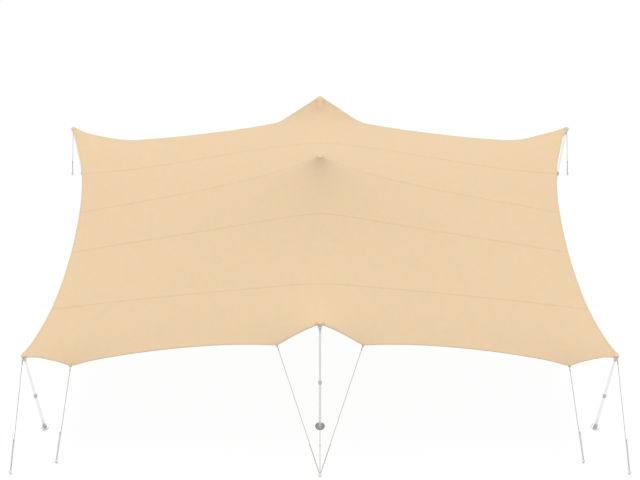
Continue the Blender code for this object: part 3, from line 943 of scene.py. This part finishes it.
def make_patch(name, kind, centre, start, end):
    """A second layer of fabric under the canopy, sewn round its edge."""
    inner, outer = PATCH_REACHES[kind]
    count = 2 + int(abs(end - start) / PATCH_TURN_STEP)
    turns = np.radians(np.linspace(start, end, count))[None, :]
    shape = Shape()

    def places(reach, drop):
        x = centre[0] + reach * np.cos(turns)
        y = centre[1] + reach * np.sin(turns)
        x = np.clip(x, -HALF_LENGTH + PATCH_EDGE, HALF_LENGTH - PATCH_EDGE)
        y = np.clip(y, -HALF_DEPTH + PATCH_EDGE, HALF_DEPTH - PATCH_EDGE)
        on_cloth, normals = cloth.at(x, y)
        return on_cloth - normals * drop, -normals, np.stack([x, y], axis=-1)

    reach = np.linspace(inner, outer, 12)[:, None]
    top, bottom = (places(reach, drop)[0] for drop in PATCH_OFFSETS)
    shape.sheet(top, bottom, 0, places(reach, 0)[2])
    for sewn in (inner + 9 * MM, outer - 7 * MM, outer - 15 * MM):
        points, normals, _ = places(np.array([[sewn]]), PATCH_OFFSETS[1])
        add_stitches(shape, points[0], normals[0], 1)
    return shape.make(f"patch_{name}", [patch_fabric, thread], sharp=50)


def make_patches():
    pieces = [make_patch("centre", "centre", (0, PEAK_Y), 0, 360)]
    for end, sign_y in ENDS.items():
        tip = (0, sign_y * HALF_DEPTH)
        pieces.append(make_patch(f"{end}_middle", "middle", tip, 0, -180 * sign_y))
        for side, sign_x in SIDES.items():
            corner = (sign_x * HALF_LENGTH, sign_y * HALF_DEPTH)
            start = math.degrees(math.atan2(-sign_y, -sign_x))
            pieces.append(make_patch(f"{end}_{side}", "corner", corner, start - 45, start + 45))
    return pieces


# Caps

CORNER_CAP_SECTION = np.array([
    (24, -36), (33, -33), (38, -31.4), (42.2, -30.2), (44.5, -27), (45, -22), (44.4, -14),
    (44.2, -6), (44.6, -1), (44.2, 2.6), (42.4, 6), (38.5, 8.7), (32, 10.7), (22, 12.3),
    (12, 13.2), (1.5, 13.6),
]) * MM
MIDDLE_CAP_SECTION = np.array([
    (26, -30), (46, -27), (49.4, -25.4), (51.8, -24), (53.6, -21.6), (54.2, -17.4), (54.2, -12.6),
    (53.6, -8.8), (52.2, -5.4), (50, -2.6), (46.6, -0.2), (42, 1.8), (34, 3.6), (24, 4.8),
    (12, 5.4), (1.5, 5.6),
]) * MM
MIDDLE_CAP_INWARD = {"front": 34 * MM, "back": 8 * MM}
MIDDLE_CAP_DROP = 10 * MM
CENTRE_CAP_SECTION = np.array([
    (24, -34), (50, -32), (56, -31.4), (60.5, -30), (62, -26), (61.2, -19), (57.5, -10),
    (53.5, -3), (50.8, 2.5), (48.6, 6.6), (44.5, 9.8), (40, 11.2), (36, 12.0), (24, 13.2),
    (12, 13.8), (1.5, 14),
]) * MM
CAP_SIDES = 72
CAP_RIM, CAP_SHOULDER = 3, 11
CORNER_HOOD_REACH = 62 * MM
MIDDLE_HOOD_REACH = {"front": 110 * MM, "back": 130 * MM}
HOOD_FADE = (3 * MM, 18 * MM)
RIM_RISE = 1.0 * MM
RIM_SAMPLE = 6 * MM
TUCK_DEPTH = 4 * MM
TUCK_PLACES = (26 * MM, 5 * MM)
SAMPLE_REACH = 0.20
SAMPLE_STEP = 2.5 * MM


class ClothRound:
    """The cloth's heights round one cap, by place in plan."""

    def __init__(self, slack):
        steps = np.arange(-SAMPLE_REACH, SAMPLE_REACH, SAMPLE_STEP)
        x, y = np.meshgrid(slack[0] + steps, slack[1] + steps)
        inside = (abs(x) <= HALF_LENGTH) & (abs(y) <= HALF_DEPTH)
        self.places, self.normals = cloth.at(x[inside], y[inside])

    def under(self, plan):
        """Height at each place, and how far the place is from the nearest cloth."""
        apart = plan[..., None, :] - self.places[:, :2]
        index = np.hypot(apart[..., 0], apart[..., 1]).argmin(axis=-1)
        step = plan - self.places[index][..., :2]
        gap = np.linalg.norm(step, axis=-1)
        step = step * np.minimum(1, 2 * SAMPLE_STEP / np.maximum(gap, MM))[..., None]
        normal = self.normals[index]
        return self.places[index][..., 2] - (normal[..., :2] * step).sum(axis=-1) / normal[..., 2], gap


def hood(section, tip, slack, outward, reach):
    """A cap's profile on every side where cloth runs in, drawn down smoothly on to it, and its share."""
    near = ClothRound(slack)
    (inner, gap), (before, _), (after, _) = (
        near.under(tip[:2] + outward[:, :2] * (reach + step))
        for step in (0, -RIM_SAMPLE, RIM_SAMPLE)
    )
    rim_height, rim_slope = inner - tip[2] + RIM_RISE, (after - before) / (2 * RIM_SAMPLE)
    start, start_height = section[CAP_SHOULDER]
    next_radius, next_height = section[CAP_SHOULDER + 1]
    start_slope = (next_height - start_height) / (next_radius - start)
    share = (CAP_SHOULDER - np.arange(CAP_RIM, CAP_SHOULDER)) / (CAP_SHOULDER - CAP_RIM)
    share = share[:, None]
    width = reach - start
    rise = smooth_step(share)
    bend = share * (1 - share) * width
    heights = start_height * (1 - rise) + rim_height * rise
    heights = heights + bend * (1 - share) * start_slope - bend * share * rim_slope
    low = rim_height - TUCK_DEPTH
    lip_radius, lip_height = section[0]
    halfway, tucked = (reach - inset for inset in TUCK_PLACES)
    under_radii = np.array([[lip_radius], [halfway], [tucked]])
    under_heights = np.stack([np.full(len(low), lip_height), (lip_height + low) / 2, low])
    profile = np.concatenate([
        grid_of(under_radii, under_heights),
        grid_of(start + width * share, heights),
    ])
    start_fade, end_fade = HOOD_FADE
    return profile, smooth_step((end_fade - gap) / (end_fade - start_fade))


def make_cap(name, tip, slack):
    """A doubled dome of fabric over a pole head, with two rows of stitches."""
    turns = np.linspace(0, TURN, CAP_SIDES, endpoint=False)
    outward = np.stack([np.cos(turns), np.sin(turns), np.zeros(CAP_SIDES)], axis=1)
    if name == "centre":
        section, reach = CENTRE_CAP_SECTION, None
    elif name.endswith("middle"):
        end = name.split("_")[0]
        section, reach = MIDDLE_CAP_SECTION, MIDDLE_HOOD_REACH[end]
        tip = tip - np.array((0, ENDS[end] * MIDDLE_CAP_INWARD[end], MIDDLE_CAP_DROP))
    else:
        section, reach = CORNER_CAP_SECTION, CORNER_HOOD_REACH
    profile = np.repeat(section[:, None], CAP_SIDES, axis=1)
    radius, height = section[:, None, 0], section[:, None, 1]
    skirt = smooth_step((-height - 4 * MM) / (8 * MM)) * (radius > 36 * MM)
    profile[..., 0] += 0.5 * MM * np.sin(22 * turns + 0.8 * np.sin(3 * turns)) * skirt
    if reach:
        hooded, share = hood(section, tip, slack, outward, reach)
        share = share[None, :, None]
        count = len(hooded)
        profile[:count] = profile[:count] * (1 - share) + hooded * share
    rings = tip + outward[None] * profile[..., :1] + UP * profile[..., 1:]
    shape = Shape()
    shape.tube(rings, 0, wrap_places(rings))
    around_tip = np.roll(rings, -1, axis=1) - np.roll(rings, 1, axis=1)
    normals = unit(np.cross(around_tip, np.gradient(rings, axis=0)))
    for row in (CAP_RIM + 1, CAP_SHOULDER + 1):
        line, facing = (np.concatenate([values[row], values[row, :1]]) for values in (rings, normals))
        add_stitches(shape, line, facing, 1, FINE_STITCH_STEP)
    return shape.make(f"cap_{name}_sewn", [cap_fabric, thread], [f"cap_{name}"], sharp=60)


# Poles

FOOT_SECTION = [
    (88.4, 0), (90, 1.4), (90, 6.4), (88.6, 8), (40, 8), (39, 8.1), (38, 9.2), (36.4, 11.6),
    (34.4, 14.4), (32, 16), (31, 16.6), (31, 68), (29.8, 70), (26.3, 70), (25.3, 69), (25.3, 62),
    (1.5, 62),
]
LOCK_SECTION = [
    (25.1, -62), (28.2, -62), (29.4, -60.5), (29.4, -47), (28.6, -45), (28.6, -42), (31, -39),
    (31.6, -36), (31.6, 6), (31, 9), (28.4, 12), (28.4, 15), (27, 30), (25.4, 40), (24.2, 42.5),
    (22.7, 42.5),
]
EDGE_HEAD_SECTION = [
    (22.9, -142), (24.2, -142), (24.9, -139), (26, -128), (29, -106), (31, -94), (31, -78),
    (30.2, -76.5), (29.6, -75), (29.6, -50), (30.2, -48.5), (31, -47), (31, -36.5), (30, -33.6),
    (27.5, -32.2), (1.5, -32),
]
CENTRE_HEAD_SECTION = [
    (27.9, -170), (29.4, -170), (30.4, -166), (33, -140), (38, -118), (46, -98), (54, -78),
    (57.4, -66), (58, -58), (58, -38), (57, -34.4), (54, -32.4), (48, -32), (1.5, -31.8),
]
HEAD_BAND_SECTION = [(29.8, -75), (32.6, -75), (33.2, -74.2), (33.2, -50.8), (32.6, -50), (29.8, -50)]
LUG_SECTION = np.array([(31, 7), (33, 7), (38, 6.6), (42, 5.8), (44.5, 3.6), (45.5, 0.8)]) * MM
LOCK_SHARE = 0.46
LOCK_RIBS = 24
PEG_REACH = 66 * MM
PEG_SECTION = [(10, 7), (10.6, 8.6), (10.2, 10.6), (8.6, 12.6), (5.6, 14), (2, 14.6), (0.8, 14.7)]
BOLT_HEIGHT = 43 * MM
SOCKET_RADIUS = 31 * MM
TUBE_STEP = 2.4 * MM
TUBE_BEVEL = 0.3 * MM
EDGE_TUBE_DROP = 139 * MM
CENTRE_TUBE_DROP = 167 * MM
MIDDLE_HEAD_DROP = 18 * MM


def scaled_section(section, extra):
    """A section in metres whose radii, save at the axis, are larger by a length."""
    return [(radius * MM + (extra if radius > 2 else 0), height * MM) for radius, height in section]


def add_bolt(shape, place, direction, slot):
    """A hexagon bolt head, or a nut, with a washer under it."""
    direction = np.array(direction, float)
    for sides, reaches in (
        (24, [(9.5, 0), (9.5, 1.5), (9, 1.8)]),
        (6, [(7.4, 1.8), (7.6, 2.2), (7.6, 6.6), (7.0, 7.4)]),
        (16, [(4, 7.4), (4, 9.6), (3.2, 10.4)]),
    ):
        line = np.array([place + direction * height * MM for radius, height in reaches])
        shape.pipe(line, np.array([radius for radius, height in reaches]) * MM, sides, slot)


def head_top(name):
    """The place just over a pole head, which is lower under a middle cap."""
    drop = MIDDLE_HEAD_DROP if name.endswith("middle") else 0
    return caps[name][0] - UP * drop


def make_pole(name, tip):
    """A telescopic pole: foot plate with pegs, two tubes with a twist lock between, and the head."""
    is_centre = name == "centre"
    radius = CENTRE_POLE_RADIUS if is_centre else EDGE_POLE_RADIUS
    extra = radius - EDGE_POLE_RADIUS
    base = np.array((tip[0], tip[1], 0.0))
    lock = base + UP * tip[2] * LOCK_SHARE

    foot = Shape()
    foot.tube(turned_rings(scaled_section(FOOT_SECTION, 0)[:4], base, 64))
    foot.tube(turned_rings(scaled_section(FOOT_SECTION[4:], extra), base, 48))
    for turn in np.radians((45, 135, 225, 315)):
        peg = base + np.array((math.cos(turn), math.sin(turn), 0)) * PEG_REACH
        foot.tube(turned_rings(scaled_section(PEG_SECTION, 0), peg, 18))
    socket = SOCKET_RADIUS + extra
    for sign in (-1, 1):
        add_bolt(foot, base + np.array((sign * socket, 0, BOLT_HEIGHT)), (sign, 0, 0), 0)
    foot.make(f"pole_{name}_foot", [steel], sharp=35)

    upper = radius - TUBE_STEP
    top = tip[2] - (CENTRE_TUBE_DROP if is_centre else EDGE_TUBE_DROP)
    outer_tube = [
        (radius - TUBE_BEVEL, 63 * MM), (radius, 66 * MM),
        (radius, lock[2] - 58 * MM), (radius - TUBE_BEVEL, lock[2] - 55 * MM),
    ]
    inner_tube = [(upper, lock[2] + 38 * MM), (upper, top - 1 * MM), (upper - TUBE_BEVEL, top)]
    tube = Shape()
    for profile in (outer_tube, inner_tube):
        tube.tube(turned_rings(profile, base, 48))
    tube.make(f"pole_{name}_tube", [pole_tube], [f"pole_{name}"], sharp=35)

    def ribs(turns, heights):
        reach = smooth_step((heights + 39 * MM) / (4 * MM))
        reach = reach * smooth_step((9 * MM - heights) / (4 * MM))
        return 1.0 * MM * np.cos(LOCK_RIBS * turns) * reach

    twist = Shape()
    dense, _ = resample(scaled_section(LOCK_SECTION, extra), 3 * MM)
    twist.tube(turned_rings(dense, lock, LOCK_RIBS * 6, ribs))
    twist.make(f"pole_{name}_lock", [polymer], sharp=50)

    head = Shape()
    section = CENTRE_HEAD_SECTION if is_centre else EDGE_HEAD_SECTION
    head.tube(turned_rings(scaled_section(section, 0), tip, 56))
    materials = [rubber]
    if not is_centre:
        materials.append(steel)
        head.tube(turned_rings(scaled_section(HEAD_BAND_SECTION, 0), tip, 56), 1)
    head.make(f"pole_{name}_head", materials, sharp=40)


# Stakes and the rings round them

STAKE_SECTION = [
    (11, 0), (11, 76), (11.6, 79.5), (13.6, 82.4), (15.4, 84.6), (16.2, 88), (16.4, 92),
    (15.8, 96), (14, 98.8), (11, 99.8), (1.5, 100),
]
STAKE_RING_RADIUS = 33 * MM
STAKE_RING_WIRE = 4 * MM
HEAD_RING_RADIUS = 13 * MM
HEAD_RING_WIRE = 3 * MM
LUG_HOLE = 39 * MM


class Hold:
    """A place on a ring's wire that a rope loops round: where, the wire's direction and radius."""

    def __init__(self, place, wire, radius):
        self.place = np.array(place, float)
        self.wire = unit(np.array(wire, float))
        self.radius = radius


def stake_places():
    places = {}
    for end, sign_y in ENDS.items():
        places[f"guy_stake_{end}_middle"] = (0.0, sign_y * MIDDLE_STAKE[1])
        for side, sign_x in SIDES.items():
            places[f"guy_stake_{end}_{side}"] = (sign_x * CORNER_STAKE[0], sign_y * CORNER_STAKE[1])
            places[f"tie_stake_{end}_{side}"] = (sign_x * TIE_STAKE[end][0], sign_y * TIE_STAKE[end][1])
    return places


STAKES = stake_places()


def make_stake(name, place):
    def hammered(turns, heights):
        reach = smooth_step((heights - 82 * MM) / (4 * MM))
        reach = reach * smooth_step((99.9 * MM - heights) / (3 * MM))
        return (0.5 * np.sin(3 * turns + place[0]) + 0.3 * np.sin(7 * turns)) * MM * reach

    shape = Shape()
    shape.tube(turned_rings(np.array(STAKE_SECTION) * MM, (*place, 0.0), 40, hammered))
    shape.make(f"{name}_forged", [steel], [name], sharp=40)


def make_stake_ring(name, place, toward):
    """A ring that lies round the stake, in line with its rope, and what a rope needs to hold it."""
    axis = np.array((*place, LOOP_LEVEL))
    pull = unit(toward - axis)
    side = unit(np.cross(pull, UP))
    level = np.linalg.norm(pull[:2])
    centre = axis + pull * (STAKE_RING_RADIUS - STAKE_RING_WIRE - STAKE_RADIUS / level)
    shape = Shape()
    shape.pipe(circle(centre, pull, side, STAKE_RING_RADIUS, 48), STAKE_RING_WIRE, 12, closed=True)
    shape.make(f"{name}_ring", [steel], sharp=40)

    def hold(target):
        spread_out = np.clip((target - centre) @ side / np.linalg.norm(target - centre), -0.6, 0.6)
        out = pull * math.sqrt(1 - spread_out ** 2) + side * spread_out
        return Hold(centre + out * STAKE_RING_RADIUS, np.cross(out, np.cross(pull, side)), STAKE_RING_WIRE)

    return hold


def make_head_ring(name):
    """A ring on a lug of the head's band, and where the rope holds it."""
    tip, stake = head_top(name), STAKES[f"guy_stake_{name}"]
    axis = tip - UP * HEAD_BAND_DROP
    level = unit(np.array((stake[0] - tip[0], stake[1] - tip[1], 0.0)))
    centre = axis + level * (LUG_HOLE + HEAD_RING_RADIUS - HEAD_RING_WIRE)
    pull = unit(np.array((*stake, LOOP_LEVEL)) - centre)
    side = np.cross(level, UP)
    shape = Shape()
    shape.pipe(circle(centre, level, UP, HEAD_RING_RADIUS, 36), HEAD_RING_WIRE, 10, closed=True)
    line = axis + level * LUG_SECTION[:, :1]
    turns = np.arange(16) * TURN / 16
    ring = side[None, :] * np.cos(turns)[:, None] * 0.55 + UP * np.sin(turns)[:, None]
    shape.tube(line[:, None] + ring[None] * LUG_SECTION[:, 1:, None])
    shape.make(f"pole_{name}_ring", [steel], sharp=40)
    return Hold(centre + pull * HEAD_RING_RADIUS, np.cross(pull, side), HEAD_RING_WIRE)


# Ropes

ROPE_LAY = 45 * MM
ROPE_STEPS = 8
STRAND_RADIUS = 3.2 * MM
STRAND_OFFSET = 2.9 * MM
ROPE_EASE = 0.4 * MM
EYE_LENGTH = 52 * MM
WHIPPING_LENGTH = 34 * MM
WHIPPING_OVERLAP = 8 * MM
WHIPPING_RADIUS = 8.2 * MM
WHIPPING_RIPPLE = 0.55 * MM
WHIPPING_PITCH = 3.6 * MM
SLIDER_DISTANCE = 0.62
SLIDER_HALF_LENGTH = 27 * MM
SLIDER_HALF_SIZE = (9.5 * MM, 4.5 * MM)
SLIDER_SPREAD = 13 * MM
SLIDER_RIM = (7.6 * MM, 1.3 * MM)
KNOT_TURNS = 2.25
KNOT_RADIUS = 6.5 * MM
KNOT_RISE = 9 * MM
KNOT_STRAND_RADIUS = 4.6 * MM
KNOT_PLACE = 8 * MM
ROPE_END = 14 * MM
TAIL = (-4 * MM, 45 * MM)


def add_rope(shape, points):
    """Three strands laid round each other along a line."""
    points, run = resample(points, ROPE_LAY / ROPE_STEPS)
    side, up = carried_frames(points)
    for strand in range(3):
        turns = (run / ROPE_LAY + strand / 3)[:, None] * TURN
        strand_line = points + (side * np.cos(turns) + up * np.sin(turns)) * STRAND_OFFSET
        shape.pipe(strand_line, STRAND_RADIUS, 6)


def loop_frame(hold, toward):
    along = unit(toward - hold.place)
    side = unit(np.cross(along, hold.wire))
    radius = hold.radius + ROPE_RADIUS + ROPE_EASE
    return along, side, radius


def half_turn(hold, along, side, radius):
    """The rope's centre line round the wire, on the side away from where it leads."""
    turns = np.radians(np.linspace(-90, 90, 13))[:, None]
    return hold.place - along * np.cos(turns) * radius + side * np.sin(turns) * radius


def add_eye(shape, hold, toward):
    """A spliced eye, its throat bound with twine."""
    along, side, radius = loop_frame(hold, toward)
    reach = np.linspace(0, EYE_LENGTH, 12)[1:, None]
    width = radius + (STRAND_RADIUS - radius) * smooth_step(reach / EYE_LENGTH)
    leg = hold.place + along * reach
    round_wire = half_turn(hold, along, side, radius)
    add_rope(shape, np.concatenate([(leg - side * width)[::-1], round_wire, leg + side * width]))
    heights = np.arange(0, WHIPPING_LENGTH, WHIPPING_PITCH / 4)
    line = hold.place + along * (EYE_LENGTH - WHIPPING_OVERLAP + heights)[:, None]
    ripple = WHIPPING_RADIUS + WHIPPING_RIPPLE * np.sin(heights * TURN / WHIPPING_PITCH)
    shape.pipe(line, ripple, 14, 1)


def add_slider(shape, first, second, along):
    """A bar that grips the rope, with a rim round each of its holes."""
    across = unit(second - first)
    middle = (first + second) / 2
    thick = np.cross(across, along)
    share = np.linspace(-1, 1, 21)
    size = np.maximum(1 - abs(share) ** 5, 0.02) ** 0.5
    turns = np.arange(20) * TURN / 20
    corner = (abs(np.cos(turns)) ** 4 + abs(np.sin(turns)) ** 4) ** -0.25
    half_thick, half_tall = SLIDER_HALF_SIZE
    section = thick * (np.cos(turns) * corner * half_thick)[:, None]
    section = section + along * (np.sin(turns) * corner * half_tall)[:, None]
    line = middle + across * share[:, None] * SLIDER_HALF_LENGTH
    shape.tube(line[:, None] + section[None] * size[:, None, None], 2)
    rim_radius, rim_wire = SLIDER_RIM
    for hole in (first, second):
        for sign in (-1, 1):
            rim = circle(hole + along * sign * 4.4 * MM, across, thick, rim_radius, 24)
            shape.pipe(rim, rim_wire, 8, 2, closed=True)


def add_knot(shape, place, along, across):
    """A stopper knot: the rope's tail wound round itself."""
    turns = np.linspace(0, KNOT_TURNS * TURN, 40)[:, None]
    ring = across * np.cos(turns) + np.cross(along, across) * np.sin(turns)
    coil = place + ring * KNOT_RADIUS + along * turns / TURN * KNOT_RISE
    shape.pipe(coil, KNOT_STRAND_RADIUS, 8)
    add_rope(shape, place + along * np.linspace(*TAIL, 8)[:, None])


def add_guy(shape, top, bottom):
    """A rope from an eye round one ring to a loop through another, set by a slider."""
    throat = top.place + unit(bottom.place - top.place) * EYE_LENGTH
    along, side, radius = loop_frame(bottom, throat)
    add_eye(shape, top, bottom.place)
    standing_end = bottom.place - side * radius
    slider = bottom.place + along * SLIDER_DISTANCE
    length = np.linalg.norm(throat - standing_end)
    first = standing_end + (throat - standing_end) * SLIDER_DISTANCE / length
    second = slider + side * (SLIDER_SPREAD * 2) - side * np.dot(slider - first, side)
    round_wire = half_turn(bottom, along, side, radius)
    add_rope(shape, np.vstack([throat, round_wire, second, second + along * ROPE_END]))
    add_slider(shape, first, second, along)
    add_knot(shape, second + along * KNOT_PLACE, along, unit(second - first))


def make_ropes(name, stake, tops):
    """The ropes from their holds above to the ring round one stake."""
    hold_for = make_stake_ring(stake, STAKES[stake], tops[0].place)
    shape = Shape()
    for top in tops:
        add_guy(shape, top, hold_for(top.place))
    shape.make(f"{name}_laid", [rope_fibre, whipping, polymer], [name], sharp=70)


# Scene

FLOOR_RADIUS = 150
FLOOR_DROP = 0.5 * MM
FLOOR_GLOW = 0.95
FLOOR_SHADE = 0.06


def make_floor():
    """A pale floor that gives off light of its own, and shows soft shadows faintly."""
    place = (0, 0, -FLOOR_DROP)
    bpy.ops.mesh.primitive_circle_add(vertices=96, radius=FLOOR_RADIUS, fill_type="NGON", location=place)
    floor = bpy.context.object
    floor.name = "floor"
    material = bpy.data.materials.new("floor_white")
    material.use_nodes = True
    tree = material.node_tree
    tree.nodes.remove(tree.nodes["Principled BSDF"])
    glow = add_node(tree, "Emission", {"Strength": FLOOR_GLOW})
    matt = add_node(tree, "BsdfDiffuse", {"Color": (FLOOR_SHADE, FLOOR_SHADE, FLOOR_SHADE, 1)})
    both = add_node(tree, "AddShader", {0: glow.outputs[0], 1: matt.outputs[0]})
    tree.links.new(both.outputs[0], tree.nodes["Material Output"].inputs["Surface"])
    floor.data.materials.append(material)
    floor.visible_diffuse = False


WORLD_LIGHT = (0.542, 0.562, 0.598)
SUN_STRENGTH = 1.70
SUN_COLOUR = (1.0, 0.956, 0.88)
SUN_TOWARD = (0.0, 0.247, 0.969)
SUN_SPREAD = 35


def make_light():
    """An even sky and a wide soft sun; the camera itself sees the sky as white."""
    world = bpy.data.worlds.new("studio")
    bpy.context.scene.world = world
    world.use_nodes = True
    tree = world.node_tree
    background = tree.nodes["Background"]
    background.inputs["Color"].default_value = (*WORLD_LIGHT, 1)
    backdrop = add_node(tree, "Background", {"Color": (1, 1, 1, 1)})
    rays = add_node(tree, "LightPath", {})
    inputs = {0: rays.outputs["Is Camera Ray"], 1: background.outputs[0], 2: backdrop.outputs[0]}
    mix = add_node(tree, "MixShader", inputs)
    tree.links.new(mix.outputs[0], tree.nodes["World Output"].inputs["Surface"])
    data = bpy.data.lights.new("softbox", "SUN")
    data.energy = SUN_STRENGTH
    data.angle = math.radians(SUN_SPREAD)
    data.color = SUN_COLOUR
    lamp = bpy.data.objects.new("softbox", data)
    bpy.context.scene.collection.objects.link(lamp)
    lamp.rotation_mode = "QUATERNION"
    lamp.rotation_quaternion = Vector(SUN_TOWARD).to_track_quat("Z", "Y")


SENSOR_WIDTH = 36
PICTURE_WIDTH = 640
FOCAL_PIXELS = 1183
ELEVATION = 0.8149
DISTANCE = 22.2437
AIM_HEIGHT = 1.9935


def make_camera():
    data = bpy.data.cameras.new("camera")
    data.sensor_width = SENSOR_WIDTH
    data.lens = FOCAL_PIXELS / PICTURE_WIDTH * SENSOR_WIDTH
    data.clip_end = 1000
    camera = bpy.data.objects.new("camera", data)
    bpy.context.scene.collection.objects.link(camera)
    back, rise = DISTANCE * math.cos(ELEVATION), DISTANCE * math.sin(ELEVATION)
    camera.location = (0, -back, AIM_HEIGHT + rise)
    camera.rotation_euler = (math.pi / 2 - ELEVATION, 0, 0)
    bpy.context.scene.camera = camera
    bpy.context.scene.view_settings.view_transform = "Standard"


def make_rigging():
    """Tabs, rings, ropes and stakes; the tabs are handed back, because they are sewn to the canopy."""
    tabs = []
    for end in ENDS:
        middle = f"{end}_middle"
        tops = [make_head_ring(middle)]
        for side in SIDES:
            corner = f"{end}_{side}"
            tab, hold = make_tab(end, side, "guy")
            tie_tab, tie_hold = make_tab(end, side, "tie")
            tabs += [tab, tie_tab]
            tops.append(hold)
            make_ropes(f"tie_{corner}", f"tie_stake_{corner}", [tie_hold])
            make_ropes(f"guy_{corner}", f"guy_stake_{corner}", [make_head_ring(corner)])
        make_ropes(f"guys_{middle}", f"guy_stake_{middle}", tops)
    for name, place in STAKES.items():
        make_stake(name, place)
    return tabs


make_camera()
make_light()
make_floor()
canopy = make_canopy()
on_canopy = [make_seam(number) for number in range(len(SEAM_SHARES))]
on_canopy += [make_hem(name, hem) for name, hem in hems.items()]
on_canopy += [make_cap(name, *place) for name, place in caps.items()]
on_canopy += make_patches()
for pole_name in caps:
    make_pole(pole_name, head_top(pole_name))
on_canopy += make_rigging()
